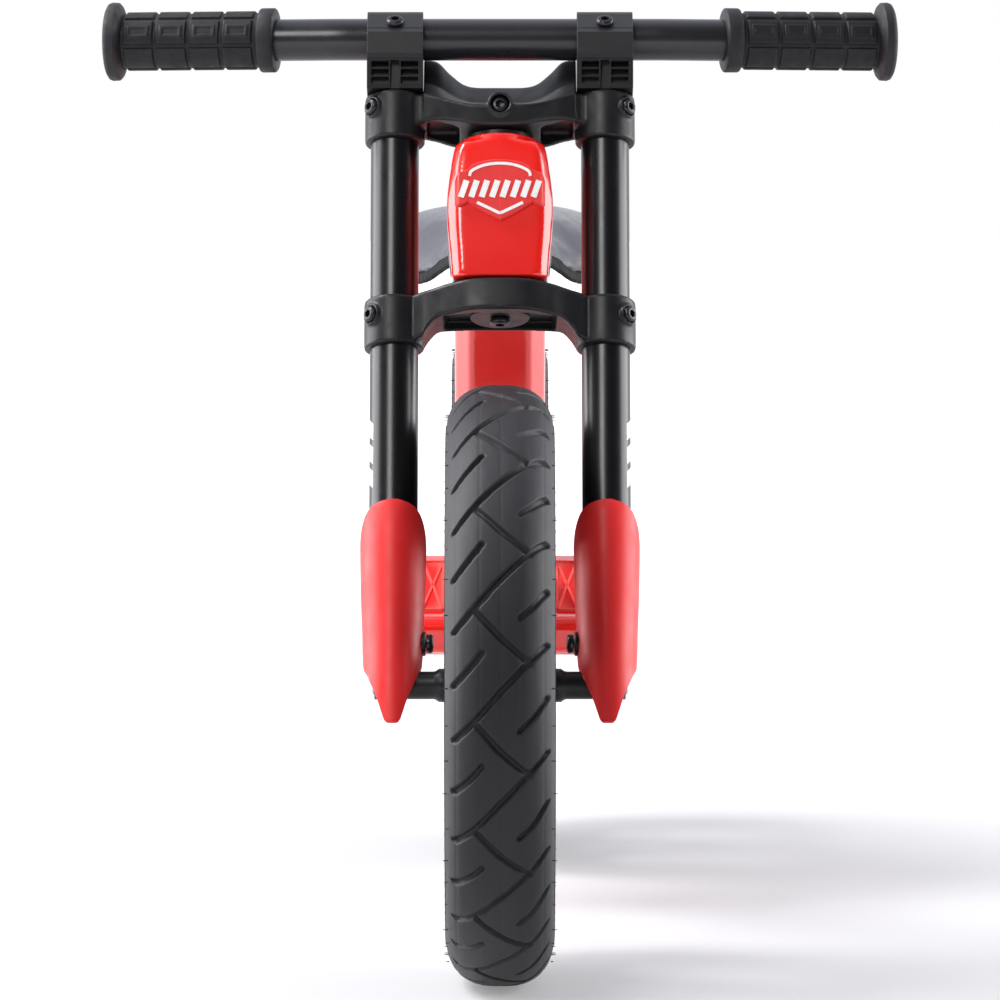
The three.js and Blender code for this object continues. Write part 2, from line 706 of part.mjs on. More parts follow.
function riser(side) {
  const { bottom, top, front, rear } = RISER;
  const seam = BAR_HEIGHT - GAP / 2;
  const line = [
    [-front + 5, bottom], [-front + 4.2, bottom + 2], [-front + 1.5, top], [-front, top + 1.6],
    [-front, FACET.low[1]], [-front + (seam - FACET.low[1]) * 0.83, seam], [rear, seam], [rear, bottom],
  ];
  const block = slab(line, -CLAMP_HALF_WIDTH, CLAMP_HALF_WIDTH);
  const recesses = [];
  for (const column of [-1, 1]) {
    for (const row of [0, 1, 2]) {
      const x = column * 7.8;
      const z = bottom + 2.5 + row * 4.2;
      recesses.push(box([x - 4.6, -front - 1, z], [x + 4.6, -front + 7, z + 3.3]));
    }
  }
  const groove = box([-2.4, -front - 1, bottom - 1], [2.4, -front + 6, top - 1.6]);
  return cut(block, barBore(), groove, ...recesses).translate(side * LEG_X, 0, 0);
}

function clampCap(side) {
  const { front, rear } = RISER;
  const seam = BAR_HEIGHT + GAP / 2;
  const line = [
    [-front + (seam - FACET.low[1]) * 0.83, seam], [-FACET.high[0], FACET.high[1]],
    [-5.5, CLAMP_TOP], [7, CLAMP_TOP], [rear - 2, CLAMP_TOP - 7], [rear, seam],
  ];
  const block = slab(line, -CLAMP_HALF_WIDTH, CLAMP_HALF_WIDTH);
  const hole = onFacet(rod('y', 2.4, -1.7, 5, 16));
  return cut(block, barBore(), hole).translate(side * LEG_X, 0, 0);
}

// Turns a piece that faces +Y so that it faces out of the middle of the clamp's slanted facet.
function onFacet(geometry) {
  const [forwardLow, upLow] = FACET.low;
  const [forwardHigh, upHigh] = FACET.high;
  const slope = Math.atan2(forwardLow - forwardHigh, upHigh - upLow);
  return geometry.rotateZ(Math.PI).rotateX(-slope)
    .translate(0, -(forwardLow + forwardHigh) / 2, (upLow + upHigh) / 2);
}

function clampBolt(side) {
  const piece = bolt({ headRadius: 4.6, headHeight: 2.6, shankRadius: 2, shankLength: 1.6 });
  return onFacet(piece.translate(0, GAP, 0)).translate(side * LEG_X, 0, 0);
}

// The bar's ends sweep back, level with the ground as the fork stands at rest.
const SWEEP_BACK = new THREE.Vector3(0, 0.954, 0.3);

function barPoint(x) {
  const beyond = Math.max(Math.abs(x) - BAR_BEND, 0);
  const bend = 12;
  const swept = beyond < bend ? (beyond * beyond) / (2 * bend) : beyond - bend / 2;
  return new THREE.Vector3(x, 0, BAR_HEIGHT).addScaledVector(SWEEP_BACK, swept * Math.tan(BAR_SWEEP));
}

function barLoft(radius, overhang) {
  const stations = [BAR_END + overhang, 93, 87, 80];
  const xs = [...stations.map((x) => -x), ...stations.reverse()];
  const rings = xs.map((x) => {
    const along = barPoint(x + 0.5).sub(barPoint(x - 0.5)).normalize();
    const up = new THREE.Vector3().crossVectors(along, SWEEP_BACK).normalize();
    const back = new THREE.Vector3().crossVectors(up, along).normalize();
    return Array.from({ length: ROUND }, (_, i) => {
      const angle = (2 * Math.PI * i) / ROUND;
      return barPoint(x)
        .addScaledVector(up, radius * Math.cos(angle))
        .addScaledVector(back, radius * Math.sin(angle));
    });
  });
  return loft(rings);
}

// A grip, closed at its outer end, with an end flange and a collar. Its bore faces -Y.
function grip(side) {
  const bore = BAR_RADIUS + GAP;
  const profile = [
    [0, bore], [0, 16.6], [1, 17.1], [8, 17.1], [9, 15.6],
    [82.2, 15.6], [84, 20.2], [85.2, 20.9], [88.2, 20.9], [GRIP_LENGTH, 18.6],
    [GRIP_LENGTH, 0], [GRIP_LENGTH - 5, 0], [GRIP_LENGTH - 5, bore],
  ];
  const geometry = turned('y', profile);
  const start = barPoint(side * (BAR_END - (GRIP_LENGTH - 5.6) * Math.cos(BAR_SWEEP)));
  const along = barPoint(side * 200).sub(barPoint(side * 150)).normalize();
  const turn = new THREE.Quaternion().setFromUnitVectors(new THREE.Vector3(0, 1, 0), along);
  return geometry.applyQuaternion(turn).translate(start.x, start.y, start.z);
}

function addHandlebar() {
  const bar = cut(barLoft(BAR_RADIUS, 0), barLoft(BAR_RADIUS - TUBE_WALL, 5));
  addMesh(steering, 'handlebar', bar, MATERIALS.tubeBlack);
  for (const [name, side] of Object.entries(SIDES)) {
    addMesh(steering, `bar_riser_${name}`, riser(side), MATERIALS.castBlack);
    addMesh(steering, `bar_clamp_cap_${name}`, clampCap(side), MATERIALS.castBlack);
    addMesh(steering, `clamp_bolt_${name}`, clampBolt(side), MATERIALS.boltBlack);
    addMesh(steering, `grip_${name}`, grip(side), MATERIALS.gripRubber);
  }
}

// ---------------------------------------------------------------- wheels

// Half of the tyre's section, as [x, radius]: outside from the crown to the bead, then back inside.
const TYRE_OUTSIDE = [
  [6, 155], [14, 153], [21, 148.5], [26.2, 140], [28, 128], [25.6, 114.5], [15.5, 106.2], [13.2, 104.6],
  [13.2, 100.2],
];
const TYRE_INSIDE = [[8.5, 100.2], [10, 107.6], [24.2, 126], [18, 146]];

// Facets lie flat on the ground, so corners stand a little outside the wheel's radius.
function wheelRadius(radius) {
  return radius / Math.cos(Math.PI / WHEEL_FACETS);
}

function wheelTurned(profile) {
  const corners = profile.map(([x, radius]) => [x, wheelRadius(radius)]);
  return turned('x', corners, WHEEL_FACETS).rotateX(Math.PI / WHEEL_FACETS);
}

function tyre() {
  const half = [...TYRE_OUTSIDE, ...TYRE_INSIDE];
  return wheelTurned([...half, ...half.map(([x, radius]) => [-x, radius]).reverse()]);
}

const RIM_HALF = [[9, 84.5], [14.6, 92], [15.9, 104], [13.6, 104], [13.6, 99.4], [7.6, 89]];
const VALVE_ANGLE = Math.PI / SPOKES;

function rim() {
  const hoop = wheelTurned([...RIM_HALF, ...RIM_HALF.map(([x, radius]) => [-x, radius]).reverse()]);
  const boss = rod('x', 23, -19, 19);
  const spokes = Array.from({ length: SPOKES }, (_, i) => {
    const outline = [[16, 14], [55, 8.6], [80, 8.2], [88, 12.5]];
    const face = [...outline.map(([r, w]) => [w, r]), ...outline.map(([r, w]) => [-w, r]).reverse()];
    return slab(face, -7.5, 7.5).rotateX((2 * Math.PI * i) / SPOKES);
  });
  const hubBore = rod('x', 16 + GAP, -30, 30);
  const valveHole = rod('z', 3.6, 60, 120, 16).rotateX(VALVE_ANGLE);
  return cut(join(hoop, boss, ...spokes), hubBore, valveHole);
}

function hub() {
  const { inner, outer, radius } = BEARING;
  const pocket = radius + GAP;
  const profile = [
    [-outer, pocket], [-outer, 15.2], [-20, 16], [20, 16], [outer, 15.2], [outer, pocket],
    [inner - GAP, pocket], [inner - GAP, 8], [-inner + GAP, 8], [-inner + GAP, pocket],
  ];
  return turned('x', profile);
}

function bearing(side) {
  const { inner, outer, radius } = BEARING;
  const [from, to] = [side * inner, side * (outer - 0.4)].sort((a, b) => a - b);
  return ring('x', AXLE_RADIUS + GAP, radius, from, to, 20);
}

function valve() {
  const profile = [
    [62, 0], [62, 2.6], [70, 2.6], [70.5, 3.2], [89.9, 3.2], [89.9, 5.6], [91.6, 5.6], [91.6, 0],
  ];
  return turned('z', profile, 10).rotateX(VALVE_ANGLE);
}

// The spacer between a bearing's inner ring and the fork or frame, with a dust flange.
function spacer(side, end) {
  const profile = [
    [BEARING.outer, AXLE_RADIUS + GAP], [BEARING.outer, 9.4], [32, 9.4], [34, 7.2], [end, 7.2],
    [end, AXLE_RADIUS + GAP],
  ];
  return turned('x', profile.map(([x, radius]) => [side * x, radius]), 16);
}

function nut(side, from, to) {
  const bore = (AXLE_RADIUS + GAP) / Math.cos(Math.PI / 6);
  return ring('x', bore, 7.5, side * from, side * to, 6);
}

function addWheel(end, centre, lugInner, lugOuter) {
  const group = new THREE.Group();
  group.position.copy(centre);
  bike.add(group);
  addMesh(group, `${end}_tyre`, tyre(), MATERIALS.tyreRubber);
  addMesh(group, `${end}_rim`, rim(), MATERIALS.wheelPlastic);
  addMesh(group, `${end}_hub`, hub(), MATERIALS.castBlack);
  addMesh(group, `${end}_valve`, valve(), MATERIALS.boltBlack);
  const axleReach = lugOuter + 5.4;
  addMesh(group, `${end}_axle`, rod('x', AXLE_RADIUS, -axleReach, axleReach), MATERIALS.bearingSteel);
  for (const [name, side] of Object.entries(SIDES)) {
    addMesh(group, `${end}_bearing_${name}`, bearing(side), MATERIALS.bearingSteel);
    addMesh(group, `${end}_spacer_${name}`, spacer(side, lugInner - GAP), MATERIALS.castBlack);
    addMesh(group, `${end}_nut_${name}`, nut(side, lugOuter + GAP, lugOuter + 4.4), MATERIALS.boltBlack);
  }
}

// ---------------------------------------------------------------- saddle

function seatClamp() {
  const { length, radius } = SEAT_TUBE;
  const bottom = length - 14;
  const band = ring('z', radius + GAP, radius + 4.2, bottom, length);
  const ears = box([-8, radius + 1.2, bottom + 1], [8, radius + 15, length - 1]);
  const slit = box([-1.5, radius - 2, bottom - 1], [1.5, radius + 20, length + 1]);
  const boltHole = rod('x', 2.8, -12, 12).translate(0, radius + 10, length - 7);
  const seat = rod('z', radius + GAP, bottom - 1, length + 1);
  return cut(join(band, ears), slit, boltHole, seat);
}

function addSeatClamp() {
  const { length, radius } = SEAT_TUBE;
  addMesh(seating, 'seat_clamp', seatClamp(), MATERIALS.castBlack);
  const piece = bolt({ headRadius: 4.4, headHeight: 4, shankRadius: 2.4, shankLength: 18 });
  const placed = piece.rotateZ(-Math.PI / 2).translate(8 + GAP, radius + 10, length - 7);
  addMesh(seating, 'seat_clamp_bolt', placed, MATERIALS.boltBlack);
}

// Stations along the saddle, nose to tail: distance behind the front axle, half width, top, side drop.
const SADDLE_STATIONS = [
  [331, 13, 367.5, 10],
  [334, 19, 370, 13.5],
  [342, 24, 371.5, 15],
  [360, 28.5, 372, 17],
  [385, 36, 372, 22],
  [410, 46, 373, 31],
  [440, 57, 376, 37],
  [470, 64.5, 379, 40],
  [495, 66, 381.2, 38],
  [510, 62, 381.4, 32],
  [519, 53, 379.8, 24],
  [523, 44, 376.5, 17],
];
const SADDLE_SHOULDER = 1.4;     // the saddle's top is flatter and its edge steeper as this grows
const SADDLE_STEPS = 10;

// One curved layer of the saddle, between two depths below its top surface.
function saddleLayer(stations, outer, inner) {
  const rings = stations.map(([y, halfWidth, top, drop]) => {
    const skin = (depth, from, to) => Array.from({ length: SADDLE_STEPS + 1 }, (_, i) => {
      const angle = from + ((to - from) * i) / SADDLE_STEPS;
      const x = (halfWidth - depth.side) * Math.sin(angle);
      const z = top - depth.top - (drop - depth.top) * (1 - Math.cos(angle)) ** SADDLE_SHOULDER;
      return new THREE.Vector3(x, y - WHEELBASE / 2, z);
    });
    return [...skin(outer, -Math.PI / 2, Math.PI / 2), ...skin(inner, Math.PI / 2, -Math.PI / 2)];
  });
  return loft(rings);
}

function saddlePad() {
  return saddleLayer(SADDLE_STATIONS, { top: 0, side: 0 }, { top: 11, side: 7 });
}

function saddleBase() {
  const outer = { top: 12, side: 7.8 };
  const inner = { top: 15.5, side: 10.5 };
  const shell = saddleLayer(SADDLE_STATIONS.slice(1, -1), outer, inner);
  const { bottom, radius } = SADDLE_SOCKET;
  const { top } = SEAT_POST;
  const toBike = (geometry) => geometry.applyMatrix4(seating.matrix);
  const socket = toBike(rod('z', radius, bottom, top + 6));
  const rib = slab([[355, 357.6], [500, 366.4], [500, 350], [470, 340], [400, 338], [355, 350]], -4, 4)
    .translate(0, -WHEELBASE / 2, 0);
  const bore = toBike(rod('z', SEAT_POST.radius + GAP, bottom - 20, top + GAP));
  const pinHole = toBike(rod('x', PIN_HOLE_RADIUS, -30, 30).translate(0, 0, bottom + 10));
  return cut(join(shell, socket, rib), bore, pinHole);
}

function seatPost() {
  const { radius, bottom, top } = SEAT_POST;
  const pinHole = rod('x', PIN_HOLE_RADIUS, -30, 30).translate(0, 0, SADDLE_SOCKET.bottom + 10);
  return cut(ring('z', radius - TUBE_WALL, radius, bottom, top), pinHole);
}

function addSaddle() {
  addMesh(seating, 'seat_post', seatPost(), MATERIALS.tubeBlack);
  addMesh(bike, 'saddle_base', saddleBase(), MATERIALS.saddleShell);
  addMesh(bike, 'saddle_pad', saddlePad(), MATERIALS.saddleFoam);
  const piece = bolt({ headRadius: 4.6, headHeight: 3, shankRadius: 2.4, shankLength: 36 });
  const { bottom, radius } = SADDLE_SOCKET;
  const placed = piece.rotateZ(-Math.PI / 2).translate(radius + GAP, 0, bottom + 10);
  addMesh(seating, 'saddle_bolt', placed, MATERIALS.boltBlack);
}

// ---------------------------------------------------------------- the whole bike

addFrame();
addCrowns();
addSteerer();
addLegs();
addHandlebar();
addWheel('front', frontAxle, LEG_X - LUG_HALF_THICKNESS, LEG_X + LUG_HALF_THICKNESS);
addWheel('rear', rearAxle, STAY_X - LUG_HALF_THICKNESS, STAY_X + LUG_HALF_THICKNESS);
addSeatClamp();
addSaddle();

export default bike;
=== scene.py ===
"""The visual model of a child's balance bike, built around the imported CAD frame.

Shapes are made in millimetres in a few local frames and placed in the row frame, in metres:
+Z is up, the bike faces -Y, and the rider's left is +X.
"""
import math

import bmesh
import bpy
import numpy as np
from mathutils import Matrix, Vector


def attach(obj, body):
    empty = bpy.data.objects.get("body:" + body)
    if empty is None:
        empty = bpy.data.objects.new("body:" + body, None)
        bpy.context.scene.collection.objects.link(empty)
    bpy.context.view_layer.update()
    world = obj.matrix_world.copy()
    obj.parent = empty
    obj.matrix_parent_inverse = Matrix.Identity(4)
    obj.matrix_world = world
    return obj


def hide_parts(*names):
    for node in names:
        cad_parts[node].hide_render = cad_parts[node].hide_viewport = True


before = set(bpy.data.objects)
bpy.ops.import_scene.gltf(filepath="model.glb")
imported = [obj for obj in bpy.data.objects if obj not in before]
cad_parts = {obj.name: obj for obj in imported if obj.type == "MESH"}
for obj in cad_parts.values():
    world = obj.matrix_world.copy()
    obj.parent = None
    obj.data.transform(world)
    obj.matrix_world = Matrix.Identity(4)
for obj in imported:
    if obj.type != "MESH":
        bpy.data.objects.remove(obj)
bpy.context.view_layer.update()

SIDES = {"left": 1, "right": -1}
MM = 0.001

# ---- the bike's main sizes, in mm

WHEEL_RADIUS = 155
HALF_BASE = 282.5
HEAD_TILT = math.radians(22)
SEAT_TILT = math.radians(18)
LEG_X = 55.5
BAR_HEIGHT = 358.2
BAR_RADIUS = 11.1
BAR_SWEEP = math.radians(9)
STAY_X = 48.3
LUG_HALF = 5

# ---- local frames


def local_frame(origin, tilt=0.0):
    """From local millimetres to the row frame's metres; tilt leans local +Z back."""
    place = Matrix.Translation(Vector(origin) * MM)
    return place @ Matrix.Rotation(-tilt, 4, "X") @ Matrix.Scale(MM, 4)


REAR_OF_FRONT_AXLE = local_frame((0, -HALF_BASE, 0))
FRONT_AXLE = local_frame((0, -HALF_BASE, WHEEL_RADIUS))
REAR_AXLE = local_frame((0, HALF_BASE, WHEEL_RADIUS))
STEERING = local_frame(
    (0, -HALF_BASE + 6 * math.cos(HEAD_TILT), WHEEL_RADIUS - 6 * math.sin(HEAD_TILT)), HEAD_TILT
)
SEATING = local_frame((0, 385 - HALF_BASE, 190), SEAT_TILT)

# ---- shapes: (points, faces)


def smooth_rows(rows, count):
    """Rows of numbers filled in along a smooth curve through them."""
    rows = np.array(rows, float)
    t = np.linspace(0, len(rows) - 1, count)
    i = np.clip(t.astype(int), 0, len(rows) - 2)
    f = (t - i)[:, None]
    ends = np.vstack([2 * rows[0] - rows[1], rows, 2 * rows[-1] - rows[-2]])
    a, b, c, d = ends[i], ends[i + 1], ends[i + 2], ends[i + 3]
    return 0.5 * (2 * b + (c - a) * f + (2 * a - 5 * b + 4 * c - d) * f**2 + (3 * b - a - 3 * c + d) * f**3)


def smooth_step(share):
    """0 up to 0 and 1 from 1 on, with a soft slope between."""
    share = np.clip(share, 0, 1)
    return share * share * (3 - 2 * share)


def grid_faces(rows, columns, wrap_rows=False):
    """The faces between rows of points, each row closed on itself."""
    i = np.arange(rows if wrap_rows else rows - 1)
    i, j = (grid.ravel() for grid in np.meshgrid(i, np.arange(columns), indexing="ij"))
    i2, j2 = (i + 1) % rows, (j + 1) % columns
    return np.stack([i * columns + j, i * columns + j2, i2 * columns + j2, i2 * columns + j], 1).tolist()


def loft(rings):
    """Skins rings that have the same number of points, and closes both ends."""
    rings = np.array(rings, float)
    rows, columns = rings.shape[:2]
    first = list(range(columns))[::-1]
    last = [(rows - 1) * columns + k for k in range(columns)]
    return rings.reshape(-1, 3), grid_faces(rows, columns) + [first, last]


def turned(profile, sides, axis="z"):
    """A closed profile of (station, radius) corners turned about an axis."""
    profile = np.array(profile, float)
    angle = circle(sides)
    radius = profile[:, 1]
    across, up = np.outer(np.cos(angle), radius), np.outer(np.sin(angle), radius)
    along = np.tile(profile[:, 0], (sides, 1))
    order = {"x": (along, across, up), "y": (across, along, up), "z": (across, up, along)}[axis]
    points = np.stack(order, -1).reshape(-1, 3)
    return points, grid_faces(sides, len(profile), wrap_rows=True)


def rod(low, high, radius, sides, axis="z"):
    """A plain round bar between two stations."""
    return turned([(low, 0), (low, radius), (high, radius), (high, 0)], sides, axis)


def circle(count):
    """Evenly spaced angles round a full turn."""
    return np.arange(count) * 2 * np.pi / count


def ring_of(x, y, z):
    """A ring of points from its coordinates, each a list or one number for all."""
    return np.stack(np.broadcast_arrays(x, y, z), -1)


def merged(*shapes):
    """Several shapes as one."""
    points, faces, count = [], [], 0
    for shape_points, shape_faces in shapes:
        points.append(shape_points)
        faces += [[corner + count for corner in face] for face in shape_faces]
        count += len(shape_points)
    return np.vstack(points), faces


def moved(shape, offset=(0, 0, 0), turn=0.0, axis="Z"):
    """The shape turned about an axis through the local origin, then moved."""
    rotation = np.array(Matrix.Rotation(turn, 3, axis))
    return shape[0] @ rotation.T + np.array(offset, float), shape[1]


def placed(shape, place):
    """The shape with its points carried over by a matrix."""
    matrix = np.array(place)
    return np.array(shape[0]) @ matrix[:3, :3].T + matrix[:3, 3], shape[1]


def on_side(shape, side):
    """The shape mirrored to the rider's right if side is -1."""
    return shape[0] * [side, 1, 1], shape[1]


def rounded_box(low, high, c):
    """A box whose twelve edges are chamfered by c."""
    (x_low, y_low, z_low), (x_high, y_high, z_high) = low, high
    rings = []
    for z, inset in ((z_low, c), (z_low + c, 0), (z_high - c, 0), (z_high, c)):
        x0, y0, x1, y1 = x_low + inset, y_low + inset, x_high - inset, y_high - inset
        rings.append([
            (x0 + c, y0, z), (x1 - c, y0, z), (x1, y0 + c, z), (x1, y1 - c, z),
            (x1 - c, y1, z), (x0 + c, y1, z), (x0, y1 - c, z), (x0, y0 + c, z),
        ])
    return loft(rings)


def rounded_section(half_width, half_depth, power, corners):
    """A rounded rectangle: 2 is an ellipse, and larger powers are squarer."""
    angle = circle(corners) + np.pi / corners
    cos, sin = np.cos(angle), np.sin(angle)
    x = half_width * np.sign(cos) * np.abs(cos) ** (2 / power)
    y = half_depth * np.sign(sin) * np.abs(sin) ** (2 / power)
    return x, y


FACETS = 8
CORNER_SMOOTHING = 2


def faceted_section(half_width, front, rear, side_chamfer, depth_chamfer, roundness=0.0, corners=96):
    """An eight-sided section with slightly rounded corners; roundness 1 makes it an ellipse."""
    x0, x1 = half_width - side_chamfer, half_width
    outline = np.array([
        (-x0, -front), (x0, -front), (x1, depth_chamfer - front), (x1, rear - depth_chamfer),
        (x0, rear), (-x0, rear), (-x1, rear - depth_chamfer), (-x1, depth_chamfer - front),
    ])
    edge, part = np.divmod(np.arange(corners) * FACETS / corners, 1)
    share = edge + smooth_step(part)
    closed = np.vstack([outline, outline[:1]])
    section = np.stack([np.interp(share, np.arange(FACETS + 1), closed[:, k]) for k in (0, 1)], 1)
    for _ in range(CORNER_SMOOTHING):
        section = (np.roll(section, 1, 0) + 2 * section + np.roll(section, -1, 0)) / 4
    size = np.stack([np.full(corners, half_width), np.where(section[:, 1] < 0, front, rear)], 1)
    ellipse = section / np.linalg.norm(section / size, axis=1)[:, None]
    section = section + (ellipse - section) * roundness
    return section[:, 0], section[:, 1]


# ---- objects


def new_object(name, data):
    """An object in the scene that shows the data."""
    obj = bpy.data.objects.new(name, data)
    bpy.context.scene.collection.objects.link(obj)
    return obj


def mesh_object(name, shape, place):
    """An object whose mesh is the shape in the row frame."""
    points, faces = placed(shape, place)
    mesh = bpy.data.meshes.new(name)
    mesh.from_pydata(points.tolist(), [], faces)
    clean(mesh)
    return new_object(name, mesh)


def plain_mesh(name, shape):
    """A smooth mesh that stays in local millimetres, for objects that carry the place and scale."""
    mesh = bpy.data.meshes.new(name)
    mesh.from_pydata(shape[0].tolist(), [], shape[1])
    mesh.shade_smooth()
    return mesh


def clean(mesh):
    """Joins corners that coincide and turns every face outwards."""
    work = bmesh.new()
    work.from_mesh(mesh)
    bmesh.ops.remove_doubles(work, verts=work.verts, dist=1e-6)
    bmesh.ops.dissolve_degenerate(work, edges=work.edges, dist=1e-7)
    bmesh.ops.recalc_face_normals(work, faces=work.faces)
    work.to_mesh(mesh)
    work.free()


def settle(obj):
    """Applies the object's modifiers to its mesh."""
    graph = bpy.context.evaluated_depsgraph_get()
    graph.update()
    solid = bpy.data.meshes.new_from_object(obj.evaluated_get(graph))
    obj.modifiers.clear()
    obj.data = solid


def soften(obj, width, segments=3, angle=32):
    """Rounds the sharp edges, as a moulded or machined part's edges are."""
    bevel = obj.modifiers.new("Bevel", "BEVEL")
    bevel.width = width * MM
    bevel.segments = segments
    bevel.limit_method = "ANGLE"
    bevel.angle_limit = math.radians(angle)
    bevel.harden_normals = True


def remesh(obj, voxel):
    """Rebuilds the surface from voxels of so many millimetres."""
    modifier = obj.modifiers.new("Remesh", "REMESH")
    modifier.mode = "VOXEL"
    modifier.voxel_size = voxel * MM


def relax(obj, rounds):
    """Evens the surface out, which fillets its inner corners."""
    modifier = obj.modifiers.new("Relax", "SMOOTH")
    modifier.factor = 0.5
    modifier.iterations = rounds


def fuse(obj, voxel, rounds, cutters=()):
    """Makes one cast body of overlapping shells, with a small fillet wherever they meet."""
    remesh(obj, voxel)
    for cutter in cutters:
        cut = obj.modifiers.new("Cut", "BOOLEAN")
        cut.operation = "DIFFERENCE"
        cut.object = cutter
    remesh(obj, voxel)
    relax(obj, rounds)
    settle(obj)
    for cutter in cutters:
        bpy.data.objects.remove(cutter)
    obj.data.shade_smooth()


def wear_look(obj, look):
    obj.data.materials.clear()
    obj.data.materials.append(look)


def finish_piece(obj, body, slot, *replaced, look=None):
    """Gives a piece its material, its body and the CAD nodes that it stands for."""
    wear_look(obj, look or LOOKS[slot])
    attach(obj, body)
    if replaced:
        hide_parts(*replaced)


def dress_node(name, slot, bevel):
    """Keeps a CAD node, with welded corners, rounded edges and a material."""
    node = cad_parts[name]
    wear_look(node, LOOKS[slot])
    weld = node.modifiers.new("Weld", "WELD")
    weld.merge_threshold = 1e-5
    soften(node, bevel, 2)


# ---- materials


def linear(red, green, blue):
    """A display colour of 0 to 255 as a linear colour."""
    shares = [c / 255 for c in (red, green, blue)]
    return tuple(c / 12.92 if c <= 0.04045 else ((c + 0.055) / 1.055) ** 2.4 for c in shares) + (1.0,)


def map_range(tree, value, start, end, low, high, kind="LINEAR"):
    """Carries a value's span from start to end over to low to high."""
    node = tree.nodes.new("ShaderNodeMapRange")
    node.interpolation_type = kind
    tree.links.new(value, node.inputs["Value"])
    for socket, number in zip(("From Min", "From Max", "To Min", "To Max"), (start, end, low, high)):
        node.inputs[socket].default_value = number
    return node.outputs["Result"]


# the colour sockets of a Mix node
MIX_FIRST, MIX_SECOND, MIX_RESULT = 6, 7, 2


class Surface:
    """A procedural material: one Principled shader and the patterns that feed it."""

    def __init__(self, name, colour, **settings):
        self.material = bpy.data.materials.new(name)
        self.material.use_nodes = True
        self.tree = self.material.node_tree
        self.nodes, self.links = self.tree.nodes, self.tree.links
        self.shader = self.nodes["Principled BSDF"]
        self.shader.inputs["Base Color"].default_value = linear(*colour)
        for socket, value in settings.items():
            self.shader.inputs[socket.replace("_", " ")].default_value = value
        self.place = self.nodes.new("ShaderNodeTexCoord").outputs["Object"]

    def stretched(self, *scale):
        node = self.nodes.new("ShaderNodeMapping")
        node.inputs["Scale"].default_value = scale
        self.links.new(self.place, node.inputs["Vector"])
        return node.outputs["Vector"]

    def texture(self, kind, scale, place=None):
        node = self.nodes.new(kind)
        node.inputs["Scale"].default_value = scale
        self.links.new(place or self.place, node.inputs["Vector"])
        return node

    def noise(self, scale, detail, place=None):
        node = self.texture("ShaderNodeTexNoise", scale, place)
        node.inputs["Detail"].default_value = detail
        return node.outputs["Fac"]

    def cells(self, scale, feature="F1"):
        node = self.texture("ShaderNodeTexVoronoi", scale)
        node.feature = feature
        return node.outputs["Distance"]

    def edges(self):
        return self.nodes.new("ShaderNodeNewGeometry").outputs["Pointiness"]

    def levels(self, value, start, end, low=0.0, high=1.0):
        return map_range(self.tree, value, start, end, low, high)

    def tint(self, amount, colour):
        """Mixes a colour over what the base colour is so far."""
        base = self.shader.inputs["Base Color"]
        node = self.nodes.new("ShaderNodeMix")
        node.data_type = "RGBA"
        self.links.new(amount, node.inputs["Factor"])
        if base.links:
            self.links.new(base.links[0].from_socket, node.inputs[MIX_FIRST])
        else:
            node.inputs[MIX_FIRST].default_value = tuple(base.default_value)
        node.inputs[MIX_SECOND].default_value = linear(*colour)
        self.links.new(node.outputs[MIX_RESULT], base)

    def cloud(self, scale, detail, start, end, amount, colour):
        """Tints where a noise is high: not at all at its start level, and by amount at its end level."""
        self.tint(self.levels(self.noise(scale, detail), start, end, 0.0, amount), colour)

    def edge_wear_and_highlight(self, start, end, amount, colour):
        """Tints the raised edges in the same way: wear on some materials, a painted edge highlight on the
        red plastics.
        """
        self.tint(self.levels(self.edges(), start, end, 0.0, amount), colour)

    def rough(self, value):
        self.links.new(value, self.shader.inputs["Roughness"])

    def mottle(self, scale, detail, low, high):
        """Lets a noise vary the roughness from low to high."""
        self.rough(self.levels(self.noise(scale, detail), 0.3, 0.7, low, high))

    def bump(self, height, distance):
        """Adds a relief of so many millimetres over what the normal is so far."""
        normal = self.shader.inputs["Normal"]
        node = self.nodes.new("ShaderNodeBump")
        node.inputs["Strength"].default_value = 1.0
        node.inputs["Distance"].default_value = distance * MM
        if normal.links:
            self.links.new(normal.links[0].from_socket, node.inputs["Normal"])
        self.links.new(height, node.inputs["Height"])
        self.links.new(node.outputs["Normal"], normal)

    def grain(self, scale, detail, distance):
        self.bump(self.noise(scale, detail), distance)


def glossy_red():
    paint = Surface("gloss_red_paint", (236, 24, 12), Roughness=0.24, Coat_Weight=1.0, Coat_Roughness=0.04)
    paint.cloud(9, 0, 0.3, 0.7, 0.05, (205, 16, 16))
    paint.cloud(2600, 1, 0.7, 0.76, 0.15, (250, 100, 90))
    paint.mottle(60, 5, 0.22, 0.26)
    paint.grain(700, 2, 0.006)
    return paint.material


def satin_red_plastic():
    plastic = Surface("satin_red_plastic", (226, 42, 42), Roughness=0.42, Specular_IOR_Level=0.36)
    plastic.cloud(22, 3, 0.3, 0.7, 0.15, (206, 34, 38))
    # painted highlight: paler pink along the raised edges, where light catches them
    plastic.edge_wear_and_highlight(0.53, 0.6, 0.5, (240, 132, 130))
    plastic.mottle(90, 4, 0.36, 0.5)
    plastic.grain(1300, 3, 0.025)
    plastic.grain(30, 1, 0.03)
    return plastic.material


def deck_red_plastic():
    plastic = Surface("deck_red_plastic", (212, 34, 32), Roughness=0.6, IOR=1.2)
    # painted highlight: paler pink along the raised ridge edges, where light catches them
    plastic.edge_wear_and_highlight(0.52, 0.6, 0.6, (244, 110, 102))
    plastic.cloud(120, 3, 0.4, 0.7, 0.2, (190, 24, 26))
    plastic.grain(1400, 2, 0.03)
    return plastic.material


def badge_red_plastic():
    plastic = Surface("badge_red_plastic", (220, 26, 30), Roughness=0.42, Specular_IOR_Level=0.3)
    # painted highlight: paler pink along the raised edges, where light catches them
    plastic.edge_wear_and_highlight(0.54, 0.62, 0.6, (246, 112, 104))
    plastic.cloud(180, 3, 0.4, 0.7, 0.15, (196, 24, 30))
    plastic.grain(1500, 2, 0.015)
    return plastic.material


